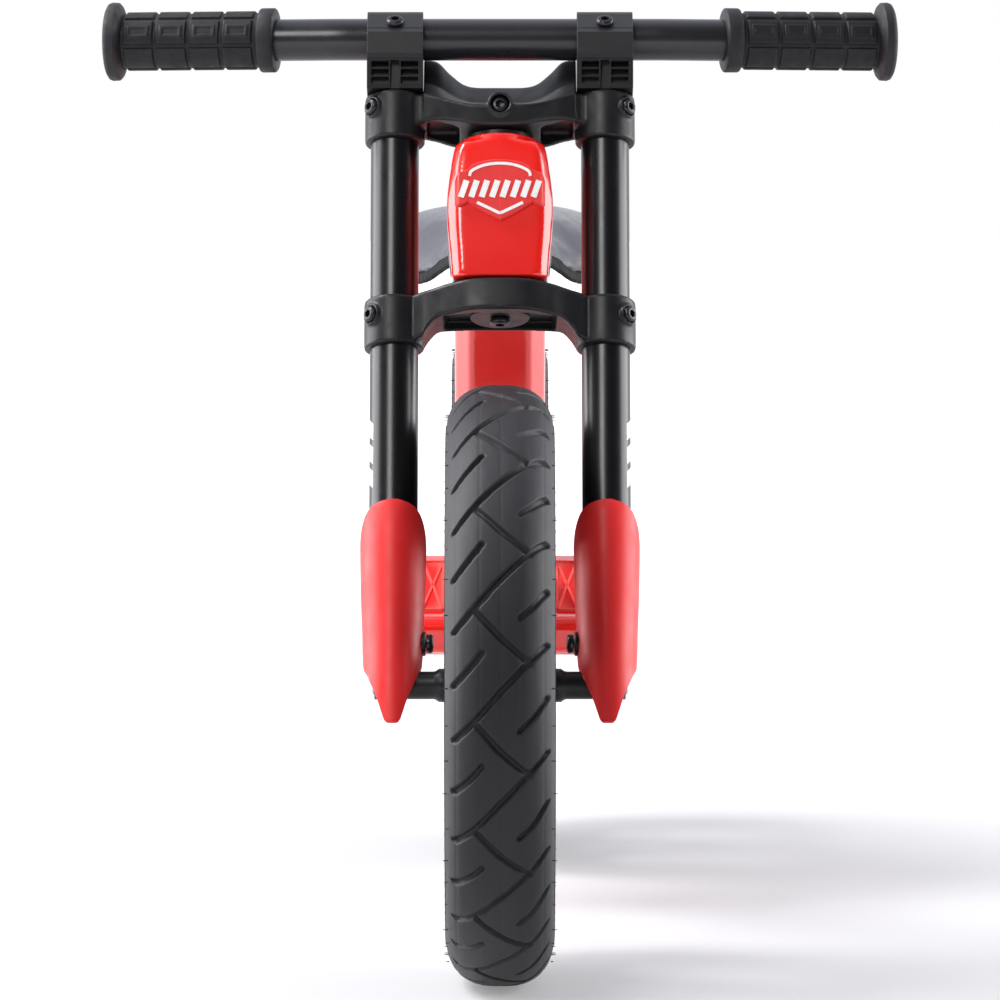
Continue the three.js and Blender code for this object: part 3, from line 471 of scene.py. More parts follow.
def white_print():
    ink = Surface("white_print", (240, 238, 236), Roughness=0.4)
    ink.cloud(700, 4, 0.5, 0.75, 0.35, (205, 200, 200))
    ink.mottle(240, 3, 0.32, 0.5)
    ink.grain(1100, 2, 0.015)
    return ink.material


def cast_black_paint():
    cast = Surface("cast_black_paint", (21, 21, 23), Roughness=0.4, Specular_IOR_Level=0.36)
    cast.cloud(26, 4, 0.35, 0.7, 0.35, (27, 27, 30))
    cast.edge_wear_and_highlight(0.6, 0.72, 0.25, (66, 66, 72))
    cast.mottle(120, 4, 0.34, 0.46)
    cast.grain(1300, 2, 0.02)
    cast.grain(340, 2, 0.02)
    return cast.material


def black_tube(name, colour, cloudy):
    tube = Surface(name, colour, Roughness=0.28, Specular_IOR_Level=0.44, Coat_Weight=0.08,
                   Coat_Roughness=0.16)
    tube.cloud(30, 3, 0.4, 0.7, 0.3, cloudy)
    tube.mottle(90, 3, 0.27, 0.31)
    tube.grain(900, 1, 0.004)
    return tube.material


def black_steel():
    steel = Surface("black_oxide_steel", (52, 52, 56), Roughness=0.32, Metallic=0.8)
    steel.edge_wear_and_highlight(0.54, 0.64, 0.7, (128, 128, 132))
    steel.cloud(300, 4, 0.5, 0.75, 0.3, (74, 70, 68))
    steel.mottle(500, 3, 0.24, 0.42)
    steel.grain(1400, 2, 0.012)
    return steel.material


def bright_steel():
    """Steel with the fine rings that turning leaves."""
    steel = Surface("turned_steel", (186, 188, 192), Roughness=0.28, Metallic=1.0)
    marks = steel.noise(900, 2, steel.stretched(8, 0.4, 0.4))
    steel.tint(steel.levels(marks, 0.35, 0.7, 0.0, 0.4), (120, 122, 128))
    steel.rough(steel.levels(marks, 0.3, 0.7, 0.2, 0.42))
    steel.bump(marks, 0.01)
    return steel.material


def grip_rubber():
    rubber = Surface("grip_rubber", (20, 20, 23), Roughness=0.6, Specular_IOR_Level=0.34)
    rubber.cloud(60, 5, 0.4, 0.75, 0.4, (30, 30, 34))
    rubber.edge_wear_and_highlight(0.52, 0.6, 0.4, (70, 70, 76))
    rubber.mottle(200, 4, 0.5, 0.7)
    rubber.bump(rubber.cells(1500), 0.025)
    rubber.grain(300, 3, 0.03)
    return rubber.material


def tyre_rubber():
    """Dusty rubber, with painted shade darkening its grooves."""
    rubber = Surface("tyre_rubber", (19, 19, 24), Roughness=0.5, Specular_IOR_Level=0.38)
    rubber.cloud(35, 5, 0.35, 0.75, 0.5, (29, 29, 36))
    rubber.cloud(900, 2, 0.66, 0.76, 0.3, (72, 71, 76))
    # painted shade: near black where the surface is hollow, in the grooves
    rubber.tint(rubber.levels(rubber.edges(), 0.4, 0.475, 0.85, 0.0), (5, 5, 6))
    rubber.mottle(140, 4, 0.4, 0.6)
    rubber.grain(1100, 4, 0.05)
    rubber.grain(160, 3, 0.07)
    return rubber.material


def wheel_plastic():
    plastic = Surface("wheel_nylon", (24, 24, 26), Roughness=0.45)
    plastic.cloud(40, 4, 0.35, 0.7, 0.4, (36, 36, 39))
    plastic.edge_wear_and_highlight(0.54, 0.64, 0.4, (84, 84, 88))
    plastic.mottle(150, 4, 0.38, 0.55)
    plastic.bump(plastic.cells(1300), 0.04)
    return plastic.material


def saddle_cover():
    """Grained vinyl, with painted shade in the creases between the grains."""
    cover = Surface("saddle_cover", (42, 44, 56), Roughness=0.42, Sheen_Weight=0.25, Sheen_Roughness=0.4,
                    Coat_Weight=0.15, Coat_Roughness=0.3)
    creases = cover.cells(620, "DISTANCE_TO_EDGE")
    cover.cloud(24, 4, 0.35, 0.7, 0.4, (52, 54, 66))
    # painted shade: darker lines in the creases between the grains
    cover.tint(cover.levels(creases, 0.0, 0.12, 0.5, 0.0), (24, 24, 28))
    cover.mottle(130, 3, 0.38, 0.56)
    cover.bump(cover.levels(creases, 0.0, 0.25), 0.05)
    cover.grain(70, 3, 0.05)
    return cover.material


def saddle_plastic():
    plastic = Surface("saddle_shell", (15, 15, 17), Roughness=0.62, Specular_IOR_Level=0.14)
    plastic.cloud(50, 4, 0.35, 0.7, 0.5, (22, 22, 25))
    plastic.mottle(200, 3, 0.55, 0.7)
    plastic.grain(1200, 3, 0.05)
    return plastic.material


LOOKS = {
    "frame_paint": glossy_red(),
    "badge_red": badge_red_plastic(),
    "guard_red": satin_red_plastic(),
    "cast_black": cast_black_paint(),
    "tube_black": black_tube("gloss_black_tube", (9, 9, 11), (14, 14, 17)),
    "bolt_black": black_steel(),
    "grip_rubber": grip_rubber(),
    "tyre_rubber": tyre_rubber(),
    "wheel_plastic": wheel_plastic(),
    "bearing_steel": bright_steel(),
    "saddle_foam": saddle_cover(),
    "saddle_shell": saddle_plastic(),
}
WHITE_PRINT = white_print()
# painted light: a lighter copy of the tube black for the handlebar, standing in for the brighter light on
# the bar
PAINTED_LIT_BAR_BLACK = black_tube("painted_lit_bar_black_tube", (36, 36, 40), (44, 44, 48))
DECK_RED = deck_red_plastic()


SHARP_ANGLE = math.radians(40)


def add(name, shape, place, body, slot, *replaced, bevel=0.0, angle=32, look=None):
    """One visible piece: its mesh, its rounded edges, its material and its body."""
    obj = mesh_object(name, shape, place)
    obj.data.shade_smooth()
    obj.data.set_sharp_from_angle(angle=SHARP_ANGLE)
    if bevel:
        soften(obj, bevel, angle=angle)
    finish_piece(obj, body, slot, *replaced, look=look)


def add_to_fork(name, shape, slot, *replaced, **options):
    """One visible piece of the fork, given in the steering frame."""
    add(name, shape, STEERING, "fork", slot, *replaced, **options)


# ---- tyres

PITCHES = 17
PITCH = 2 * math.pi * WHEEL_RADIUS / PITCHES
STEPS_PER_PITCH = 76
TREAD_STEP = 0.72
GROOVE_DEPTH = 2.2
GROOVE_HALF_WIDTH = 1.15
GROOVE_WALL = 0.45
MOULD_LINE_DEPTH = 0.16
MOULD_LINE_WIDTH = 0.5

# half of the tyre's outside, from the crown to the bead, then the inside back to the crown
TYRE_OUTSIDE = [
    (0, 155), (5, 154.9), (10, 154.3), (15, 152.6), (20, 149.4), (24, 144.6), (26.8, 138), (28, 129),
    (27.2, 121), (24.2, 113.6), (19.5, 108.6), (15.6, 106), (13.4, 104.4), (13.3, 100.6),
]
TYRE_INSIDE = [(8.6, 100.4), (10.4, 107.6), (20, 115), (24, 126), (22, 138), (15, 146), (0, 149)]

# grooves of one pitch, as (sideways, along the tread) from and to
GROOVES = [
    ((-23, 0), (-13, 10.8), (0, 25.7), (14.4, 40.8), (23.7, 50.5)),
    ((-12, 9.4), (0, -3.8), (15.2, -17.2)),
    ((-23.3, -28.4), (-15.5, -20), (-9, -11.8)),
    ((10, 6), (17, 13), (23.7, 22.4)),
]
MOULD_LINES = (-21.9, -10.3, 0.2, 10.7, 22.2)
TREAD_TURN = 13.5 / WHEEL_RADIUS
SIDE_RINGS = ((133.5, 27.6), (119, 26.2), (110.6, 21.2))
SIDE_RIBS = 90
WHISKERS = 48


def segment_distance(x, s, start, end):
    """How far (x, s) is from a segment."""
    across, along = end[0] - start[0], end[1] - start[1]
    x, s = x - start[0], s - start[1]
    share = np.clip((x * across + s * along) / (across**2 + along**2), 0, 1)
    return np.hypot(x - share * across, s - share * along)


def tread_depth(x, s):
    """How deep the tread is cut at a place, in mm."""
    nearest = np.full(np.broadcast(x, s).shape, 99.0)
    for groove in GROOVES:
        for start, end in zip(groove, groove[1:]):
            for pitch in (-1, 0, 1, 2):
                nearest = np.minimum(nearest, segment_distance(x, s - pitch * PITCH, start, end))
    depth = GROOVE_DEPTH * smooth_step((GROOVE_HALF_WIDTH + GROOVE_WALL - nearest) / GROOVE_WALL)
    for line in MOULD_LINES:
        depth = depth + MOULD_LINE_DEPTH * np.exp(-(((x - line) / MOULD_LINE_WIDTH) ** 2))
    return depth


def tyre_section():
    """The tyre's closed section as [x, radius] rows, dense where the tread is, and the tread's rows."""
    outside = smooth_rows(TYRE_OUTSIDE, 400)
    length = np.concatenate([[0], np.cumsum(np.hypot(*np.diff(outside, axis=0).T))])
    tread = np.arange(TREAD_STEP / 2, 33, TREAD_STEP)
    stations = np.concatenate([tread, np.linspace(34.2, length[-1], 20)])
    half = np.stack([np.interp(stations, length, outside[:, k]) for k in (0, 1)], 1)
    inside = smooth_rows(TYRE_INSIDE, 9)[:-1]
    half = np.vstack([half, inside])
    other = half[::-1] * [-1, 1]
    return np.vstack([half, other]), len(tread)


def tyre_shape():
    """The tyre with its tread cut in, every pitch alike."""
    section, tread_count = tyre_section()
    turns = PITCHES * STEPS_PER_PITCH
    angle = circle(turns)[:, None]
    x, radius = section.T
    on_tread = np.zeros(len(section), bool)
    on_tread[:tread_count] = on_tread[-tread_count:] = True
    along = (np.arange(STEPS_PER_PITCH) * PITCH / STEPS_PER_PITCH)[:, None]
    depth = np.tile(tread_depth(x[None, :], along), (PITCHES, 1)) * on_tread
    sideways, radially = np.gradient(x), np.gradient(radius)
    length = np.hypot(sideways, radially)
    across = x[None, :] + depth * (radially / length)
    radial = radius[None, :] - depth * np.abs(sideways / length)
    points = np.stack([across, -radial * np.cos(angle), radial * np.sin(angle)], -1).reshape(-1, 3)
    return points, grid_faces(turns, len(section), wrap_rows=True)


def sidewall_shape():
    """Raised rings on both sidewalls, a band of short slanted ribs, and the moulding whiskers."""
    shapes = []
    for radius, x in SIDE_RINGS:
        profile = [(x - 0.8, radius - 0.9), (x + 0.35, radius - 0.4), (x + 0.35, radius + 0.4),
                   (x - 0.8, radius + 0.9)]
        shapes.append(turned(profile, 240, "x"))
    rib = []
    for x, y, z in ((26.4, -1.5, 122), (26.9, 0, 126), (27.4, 1.5, 130)):
        rib.append([(x, y - 0.5, z), (x + 0.8, y, z), (x, y + 0.5, z)])
    for turn in circle(SIDE_RIBS):
        shapes.append(moved(loft(rib), turn=turn, axis="X"))
    for index, turn in enumerate(circle(WHISKERS)):
        tip = 28.3 + 0.7 * math.sin(index * 2.4)
        hair = turned([(26.2, 0), (26.2, 0.34), (tip, 0.16), (tip, 0)], 8, "x")
        hair = moved(hair, (0, 0, 140 + 2.5 * math.sin(index * 1.7)))
        shapes.append(moved(hair, turn=turn + 0.6 * math.pi / WHISKERS, axis="X"))
    both_sides = merged(*shapes)
    return merged(both_sides, on_side(both_sides, -1))


def add_tyres():
    tread = plain_mesh("tyre_tread", moved(tyre_shape(), turn=TREAD_TURN, axis="X"))
    sides = plain_mesh("tyre_sides", sidewall_shape())
    for end, place in (("front", FRONT_AXLE), ("rear", REAR_AXLE)):
        for name, mesh, replaced in (("treaded", tread, [f"{end}_tyre"]), ("sidewalls", sides, [])):
            obj = new_object(f"{end}_tyre_{name}", mesh)
            obj.matrix_world = place
            finish_piece(obj, f"{end}_wheel", "tyre_rubber", *replaced)


# ---- wheels

# the wheel's hoop is given as (x, radius), and its spokes as (radius, half width, half depth)
SPOKES = 5
VALVE_TURN = math.pi / SPOKES
RIM_HALF = [(9, 84.5), (12.4, 87), (14.6, 92), (15.4, 98), (15.9, 104), (13.7, 104), (13.6, 99.4), (7.6, 89)]
SPOKE_STATIONS = [(14, 15, 8.2), (24, 11.5, 7.8), (40, 9.2, 7), (58, 8.4, 6.6), (74, 9.2, 7), (88, 13.5, 8)]


def spoke(turn):
    rings = []
    for radius, half_width, half_depth in smooth_rows(SPOKE_STATIONS, 24):
        rings.append(ring_of(*rounded_section(half_depth, half_width, 4.5, 32), radius))
    return moved(loft(rings), turn=turn, axis="X")


def rim_object(end, place):
    hoop = turned(RIM_HALF + [(-x, radius) for x, radius in RIM_HALF[::-1]], 160, "x")
    boss = turned([(-19, 15), (-19, 20), (-17, 22.6), (17, 22.6), (19, 20), (19, 15)], 96, "x")
    rim = mesh_object(f"{end}_wheel_moulding", merged(hoop, boss, *map(spoke, circle(SPOKES))), place)
    hole = moved(rod(60, 120, 3.7, 24), turn=VALVE_TURN, axis="X")
    fuse(rim, voxel=1.1, rounds=6, cutters=[mesh_object("valve_hole", hole, place)])
    return rim


VALVE_PROFILE = [
    (62, 0), (62, 2.2), (62.6, 2.9), (69.4, 2.9), (70, 2.2), (70.6, 2.3), (71, 3.2),
    (89.9, 3.2), (89.9, 5.6), (91.6, 5.6), (91.6, 0),
]


HUB_PROFILE = [
    (-27, 13.2), (-27, 14.4), (-26.2, 15.2), (-20, 16), (20, 16), (26.2, 15.2), (27, 14.4), (27, 13.2),
    (18.7, 13.1), (18.7, 8), (-18.7, 8), (-18.7, 13.1),
]
BEARING_PROFILE = [
    (19, 5.3), (19, 12.8), (26, 12.8), (26.6, 12.2), (26.6, 10.8), (25.9, 10.6), (25.9, 8), (26.6, 7.8),
    (26.6, 5.3),
]


def wheel_details(end, place, body):
    valve = moved(turned(VALVE_PROFILE, 32), turn=VALVE_TURN, axis="X")
    add(f"{end}_valve_stem", valve, place, body, "bolt_black", f"{end}_valve")
    hub = turned(HUB_PROFILE, 96, "x")
    add(f"{end}_hub_shell", hub, place, body, "cast_black", f"{end}_hub", bevel=0.3)
    for name, side in SIDES.items():
        bearing = on_side(turned(BEARING_PROFILE, 72, "x"), side)
        add(f"{end}_ball_bearing_{name}", bearing, place, body, "bearing_steel", f"{end}_bearing_{name}")


THREAD_RADIUS = 5
THREAD_DEPTH = 0.35
THREAD_STEP = 0.5


def axle_details(end, place, body, lug_inner, lug_outer):
    """The spacers, the nuts and the threaded axle, which stay with the frame or the fork."""
    flange = [(27, 5.3), (27, 8.3), (27.6, 8.7), (31.4, 8.7), (33.4, 7.4), (34.6, 7.2),
              (lug_inner - 0.9, 7.2), (lug_inner - 0.3, 6.6), (lug_inner - 0.3, 5.3)]
    for name, side in SIDES.items():
        spacer = on_side(turned(flange, 64, "x"), side)
        add(f"{end}_dust_spacer_{name}", spacer, place, body, "cast_black", f"{end}_spacer_{name}")
        dress_node(f"{end}_nut_{name}", "bolt_black", bevel=0.35)
    reach = lug_outer + 5.4
    thread = [(-reach, 0), (-reach, 4.2)]
    for x in np.arange(-reach + 0.8, reach - 0.5, THREAD_STEP):
        in_groove = abs(x) > lug_outer - 4 and int(round(x / THREAD_STEP)) % 2
        thread.append((x, THREAD_RADIUS - THREAD_DEPTH if in_groove else THREAD_RADIUS))
    thread += [(reach, 4.2), (reach, 0)]
    add(f"{end}_threaded_axle", turned(thread, 40, "x"), place, body, "bearing_steel", f"{end}_axle")


def add_wheels():
    for end, place, holder, lug in (
        ("front", FRONT_AXLE, "fork", LEG_X),
        ("rear", REAR_AXLE, "frame", STAY_X),
    ):
        finish_piece(rim_object(end, place), f"{end}_wheel", "wheel_plastic", f"{end}_rim")
        wheel_details(end, place, f"{end}_wheel")
        axle_details(end, place, holder, lug - LUG_HALF, lug + LUG_HALF)


# ---- frame

# height, half width, front, rear, the chamfers' width and depth, and roundness
HEAD_STATIONS = [
    (217.8, 25.2, 23.3, 24, 4.7, 5, 0), (230, 26, 24.2, 26, 4.9, 5.1, 0),
    (245, 27.4, 25, 27, 5.3, 5.3, 0), (258, 27.9, 25.6, 28, 5.6, 5.6, 0),
    (268, 27.3, 25.6, 28, 5.4, 5.6, 0), (276, 26.3, 25.3, 27.4, 5, 5.3, 0),
    (284, 25.2, 24.8, 26.6, 4.8, 5.1, 0), (289, 24.5, 24.4, 25.8, 4.7, 5, 0.05),
    (293, 24, 24, 25, 4.7, 5, 0.3), (295, 23.4, 23.6, 24.4, 4.7, 5, 1),
    (296.5, 23, 23.2, 23.6, 4.7, 5, 1), (298, 22.8, 22.8, 23, 4.7, 5, 1),
]
BEAM_CHAMFER = (8.2, 12)
# distance back, height, half width and half depth, and the same with x second for the stays
BEAM_STATIONS = [
    (104, 396, 23.2, 27), (124, 386, 24, 29), (146, 371, 24.3, 29), (170, 346, 24.3, 28),
    (195, 313, 24.3, 26.5), (220, 278, 24.3, 25), (246, 242, 24.6, 23.5), (276, 210, 25.6, 22),
    (310, 187, 28, 19), (348, 175, 31, 16), (388, 171, 31, 13),
]
STAY_STATIONS = [
    (350, 44, 161, 9, 11), (385, 46, 163, 9, 13), (410, 47.5, 165, 7, 14), (450, 48.3, 165, 6, 13.5),
    (500, 48.3, 162, 5.4, 12.5), (540, 48.3, 158, 5, 12), (565, 48.3, 155, 5, 11),
]
# the footrest's side, as (distance back, height)
FOOTREST_SIDE = [
    (298, 143), (298, 157), (302, 161.5), (400, 188), (404, 184), (404, 177), (385, 158), (306, 140),
]
# the footrest's (x, how far its front and rear edges pull in)
FOOTREST_ENDS = [(55, 0), (56.5, 1), (69, 12.5), (70, 14)]


def head_tube_shape():
    stations = smooth_rows(HEAD_STATIONS, 70)
    return loft([ring_of(*faceted_section(*section), height) for height, *section in stations])


def directions(points):
    """The unit directions along a line of points."""
    along = np.gradient(points, axis=0)
    return along / np.linalg.norm(along, axis=1)[:, None]


def beam_shape():
    stations = smooth_rows(BEAM_STATIONS, 90)
    rings = []
    for (y, z, half_width, half_depth), (dy, dz) in zip(stations, directions(stations[:, :2])):
        x, d = faceted_section(half_width, half_depth, half_depth, *BEAM_CHAMFER)
        rings.append(ring_of(x, y - dz * d, z + dy * d))
    return loft(rings)


def stay_shape(side):
    rings = []
    for y, x, z, half_width, half_height in smooth_rows(STAY_STATIONS, 50):
        dx, dz = rounded_section(half_width, half_height, 3, 36)
        rings.append(ring_of(side * x + dx, y, z + dz))
    lug = rod(side * STAY_X - LUG_HALF, side * STAY_X + LUG_HALF, 15, 64, "x")
    return merged(loft(rings), moved(lug, (0, 2 * HALF_BASE, WHEEL_RADIUS)))


def footrest_shape():
    """The sloping deck, narrower at its chamfered front and rear corners."""
    rings = []
    for x, pull in [(-x, pull) for x, pull in FOOTREST_ENDS[::-1]] + FOOTREST_ENDS:
        front, rear = 298 + pull, 404 - pull * 0.86
        rings.append([(x, min(max(y, front), rear), z) for y, z in FOOTREST_SIDE])
    return loft(rings)


def to_bike(shape, place):
    """A shape from another local frame, in millimetres behind the front axle."""
    return placed(shape, REAR_OF_FRONT_AXLE.inverted() @ place)


def add_frame():
    seat_tube = turned([(-14, 0), (-14, 17), (107, 17), (108, 16), (108, 0)], 72)
    shells = merged(
        to_bike(head_tube_shape(), STEERING), beam_shape(), footrest_shape(), to_bike(seat_tube, SEATING),
        stay_shape(1), stay_shape(-1),
    )
    casting = mesh_object("frame_monocoque", shells, REAR_OF_FRONT_AXLE)
    bore = mesh_object("bore", rod(7, 120, 13.4, 48), SEATING)
    slot = mesh_object("slot", rounded_box((-1.4, 0, 86), (1.4, 30, 120), 0.2), SEATING)
    fuse(casting, voxel=1.1, rounds=3, cutters=[bore, slot])
    finish_piece(casting, "frame", "frame_paint", "frame_casting")
    deck_ridges()


DECK_FRONT, DECK_REAR = np.array(FOOTREST_SIDE[2:4], float)
DECK_LENGTH = 101.5
DECK_PATTERN = (0.1, 0.86)
DECK_COLUMNS = np.linspace(32, 66, 4)
RIDGE_HALF_WIDTH = 1.0
RIDGE_HEIGHT = 1.6


def deck_point(x, share, lift):
    """A place on the footrest's top: share 0 is its front edge and 1 its rear edge."""
    run = DECK_REAR - DECK_FRONT
    y, z = DECK_FRONT + run * share
    slope = math.atan2(run[1], run[0])
    return (x, y - lift * math.sin(slope), z + lift * math.cos(slope))


def ridge(start, end):
    """A low raised line across the footrest, between two (x, share) places."""
    direction = Vector((end[0] - start[0], (end[1] - start[1]) * DECK_LENGTH)).normalized()
    side = Vector((-direction.y, direction.x)) * RIDGE_HALF_WIDTH
    rings = []
    for x, share in (start, end):
        ring = []
        for across, lift in ((-1, -0.6), (-0.6, RIDGE_HEIGHT), (0.6, RIDGE_HEIGHT), (1, -0.6)):
            ring.append(deck_point(x + side.x * across, share + side.y * across / DECK_LENGTH, lift))
        rings.append(ring)
    return loft(rings)


def deck_ridges():
    """The footrest's grip pattern: a row of tall crosses in a border, either side of the beam."""
    low, high = DECK_PATTERN
    ridges = []
    for side in SIDES.values():
        columns = side * DECK_COLUMNS
        for inner, outer in zip(columns, columns[1:]):
            ridges += [ridge((inner, low), (outer, high)), ridge((inner, high), (outer, low))]
        left, right = columns[0], columns[-1]
        plate = []
        for share in np.linspace(low, high, 9):
            top = [deck_point(x, share, 0.7) for x in np.linspace(left, right, 9)]
            plate.append(top + [deck_point(x, share, -0.4) for x in (right, left)])
        ridges.append(loft(plate))
        corners = [(left, low), (right, low), (right, high), (left, high)]
        ridges += [ridge(start, end) for start, end in zip(corners, corners[1:] + corners[:1])]
    add("footrest_grip_pattern", merged(*ridges), REAR_OF_FRONT_AXLE, "frame", "frame_paint", look=DECK_RED)


# ---- badge

# the shield's lower edge and upper edge at each sideways place
SHIELD = [
    (0, 247.6, 281), (4, 249.5, 280.8), (8, 251.6, 280.2), (12, 254, 279.2), (15, 256, 277.6),
    (17, 257.2, 275.4), (19, 256.2, 274.4), (22, 255, 273.6), (23.6, 256, 270),
]


SHIELD_HALF_WIDTH = 23.6
SHIELD_DEPTH = 3.3
FACE_HALF_WIDTH = 21.8
FACE_FRONT = -25.7


def shield_front(x):
    """How far ahead the head tube's face is under the badge."""
    return FACE_FRONT + 1.2 * np.maximum(0, np.abs(x) - FACE_HALF_WIDTH)


def shield_shape():
    """A plate with chamfered edges that follows the head tube's face."""
    xs = np.linspace(-SHIELD_HALF_WIDTH, SHIELD_HALF_WIDTH, 121)
    places, *edges = np.array(SHIELD).T
    rings = []
    for x, bottom, top in zip(xs, *(np.interp(np.abs(xs), places, edge) for edge in edges)):
        back = shield_front(x) + 1
        front = back - SHIELD_DEPTH
        rings.append([(x, back, bottom), (x, front + 0.7, bottom), (x, front, bottom + 0.7),
                      (x, front, top - 0.7), (x, front + 0.7, top), (x, back, top)])
    return loft(rings)


def badge_line(points, half_width):
    """A thin raised line on the badge's face through (x, height) points."""
    points = smooth_rows(points, 40) if len(points) > 2 else np.array(points, float)
    rings = []
    for (x, z), (dx, dz) in zip(points, directions(points) * half_width):
        ring = []
        for across, lift in ((-1, 0.2), (-1, -0.25), (1, -0.25), (1, 0.2)):
            edge = x - dz * across
            ring.append((edge, shield_front(edge) + 1 - SHIELD_DEPTH + lift, z + dx * across))
        rings.append(ring)
    return loft(rings)


def add_badge():
    add("head_shield", shield_shape(), STEERING, "frame", "badge_red", "head_badge")
    half_arch = [(16, 271.4), (14.6, 274.4), (8, 277.4)]
    arch = badge_line([(-x, z) for x, z in half_arch] + [(0, 278.4)] + half_arch[::-1], 0.75)
    vee = [badge_line([(side * 12, 256.6), (0, 250.6)], 0.8) for side in (-1, 1)]
    bars = [badge_line([(x - 1.5, 259.6), (x + 1.5, 268.8)], 1.55) for x in np.linspace(-19, 19, 8)]
    add("shield_print", merged(arch, *vee, *bars), STEERING, "frame", "badge_red", look=WHITE_PRINT)


# ---- crowns

PINCH_ANGLE = math.radians(47)
PINCH_HEIGHT = {"lower": 200.4, "upper": 316}
COLLAR_SPAN = {"lower": (184.3, 211), "upper": (298.8, 325)}
CENTRE_BOLT_HEIGHT = 313.6

# half of each crown's bridge: x, how far ahead it reaches, the heights of its top, and of its
# underside at the front and at the rear
LOWER_STATIONS = [
    (0, 26, 216.6, 198.8, 201), (15, 25, 216.4, 198.7, 201), (26, 20.8, 215.4, 197.6, 200.6),
    (33, 17.4, 214.2, 196.8, 199.5), (38, 15.6, 213, 191.6, 194), (41, 14.8, 212.4, 187.4, 189.5),
    (48, 12, 210.6, 185.4, 185.4),
]
UPPER_STATIONS = [
    (0, 24.5, 313.2, 335.2, 302, 301.6), (13, 24.2, 313.6, 335.4, 302.8, 301.6),
    (20, 22.6, 315, 337.4, 304.8, 301.8), (27, 20, 317.6, 343.4, 306.6, 303.4),
    (33, 17.6, 320.4, 349.6, 307.8, 305.4), (40.4, 15.8, 323.2, 351.4, 307, 307),
]


def mirrored(stations, count):
    """Both halves of a bridge whose stations run from its middle to the rider's left."""
    both = [(-row[0], *row[1:]) for row in stations[:0:-1]] + stations
    return smooth_rows(both, count)


def towards_pinch(shape, side, height):
    """Turns a piece that faces +Y so that it faces outwards and ahead from a fork leg."""
    return moved(shape, (side * LEG_X, 0, height), side * (-math.pi + PINCH_ANGLE))


def collar_shape(side, bottom, top):
    profile = [(bottom, 0), (bottom, 15.2), (bottom + 0.6, 15.8), (top - 1.2, 15.8), (top, 14.6), (top, 0)]
    return moved(turned(profile, 96), (side * LEG_X, 0, 0))


def pinch_lug(side, height):
    lug = turned([(10, 0), (10, 5.6), (17, 5.6), (17.4, 5.2), (17.4, 0)], 40, "y")
    return towards_pinch(lug, side, height)


def cast_crown(level, shells, cutters, rounds):
    """Casts a crown: its own shells and cut-outs, the collars round the legs and the pinch bolts' lugs."""
    for side in SIDES.values():
        shells += [collar_shape(side, *COLLAR_SPAN[level]), pinch_lug(side, PINCH_HEIGHT[level])]
        cutters.append(towards_pinch(rod(15.2, 30, 4.6, 40, "y"), side, PINCH_HEIGHT[level]))
    crown = mesh_object(f"fork_crown_{level}", merged(*shells), STEERING)
    cutters = [mesh_object("cutter", cutter, STEERING) for cutter in cutters]
    fuse(crown, voxel=0.7, rounds=rounds, cutters=cutters)
    finish_piece(crown, "fork", "cast_black", f"{level}_crown")


def lower_crown():
    rings = []
    for x, front, top, low_front, low_rear in mirrored(LOWER_STATIONS, 90):
        rings.append([(x, y, z) for y, z in (
            (-front + 0.8, low_front), (-front, low_front + 1.2), (-front, top - 1.4), (-front + 1.8, top),
            (16.8, top), (18.5, top - 1.6), (18.5, low_rear + 0.8), (17.7, low_rear),
        )])
    pocket = [[(x, y, z) for x, z in ((-35, 180), (-28, 206), (28, 206), (35, 180))] for y in (-17, 16)]
    cast_crown("lower", [loft(rings)], [loft(pocket)], rounds=4)


def upper_crown():
    rings = []
    for x, front, top_front, top_rear, low_front, low_rear in mirrored(UPPER_STATIONS, 90):
        rings.append([(x, y, z) for y, z in (
            (-front + 3, low_front), (-front + 2.3, low_front + 1.2), (-front, top_front - 1),
            (-front + 1.4, top_front), (-4, (top_front * 2 + top_rear) / 3), (9.5, top_rear - 1.2),
            (11, top_rear), (15.2, top_rear), (16.2, top_rear - 1.4), (16.2, low_rear + 1.2), (15, low_rear),
        )])
    centre = (0, 0, CENTRE_BOLT_HEIGHT)
    shells = [loft(rings), moved(rod(-24.4, -6, 6.6, 48, "y"), centre)]
    cutters = [moved(rod(-30, -18.4, 5, 48, "y"), centre)]
    for side in SIDES.values():
        shells.append(on_side(rounded_box((38, -12.5, 307), (47, 12.5, 323.4), 1.0), side))
        cutters.append(on_side(rounded_box((21.5, -11.5, 290), (38.5, 12, 311), 1.5), side))
    cast_crown("upper", shells, cutters, rounds=3)


# ---- bolts


def socket_bolt(head_radius, head_height, shank_radius, shank_length):
    """A rounded bolt head that faces +Y, with a hexagon socket in it."""
    angle = circle(48)
    flat = np.pi / 6
    hexagon = head_radius * 0.5 * np.cos(flat) / np.cos((angle + flat) % (2 * flat) - flat)
    rings = []
    for radius, y in (
        (0.01, -shank_length), (shank_radius, -shank_length), (shank_radius, 0), (head_radius - 0.2, 0),
        (head_radius, 0.3), (head_radius, head_height * 0.5), (head_radius * 0.94, head_height * 0.78),
        (head_radius * 0.8, head_height * 0.95), (head_radius * 0.66, head_height),
        (hexagon * 1.06, head_height), (hexagon, head_height - 0.15),
        (hexagon * 0.98, head_height * 0.4), (hexagon * 0.01, head_height * 0.3),
    ):
        rings.append(ring_of(radius * np.cos(angle), y, radius * np.sin(angle)))
    return loft(rings)


# the bar clamp's slanted front facet
FACET_RISE = (12, 14.5)
FACET_CENTRE = (0, -14, 362.35)
GUARD_BOLT = (-2, 23.5)


def on_facet(shape):
    """Places a piece that faces +Y on the bar clamp's facet."""
    return moved(moved(moved(shape, turn=math.pi), turn=-math.atan2(*FACET_RISE), axis="X"), FACET_CENTRE)


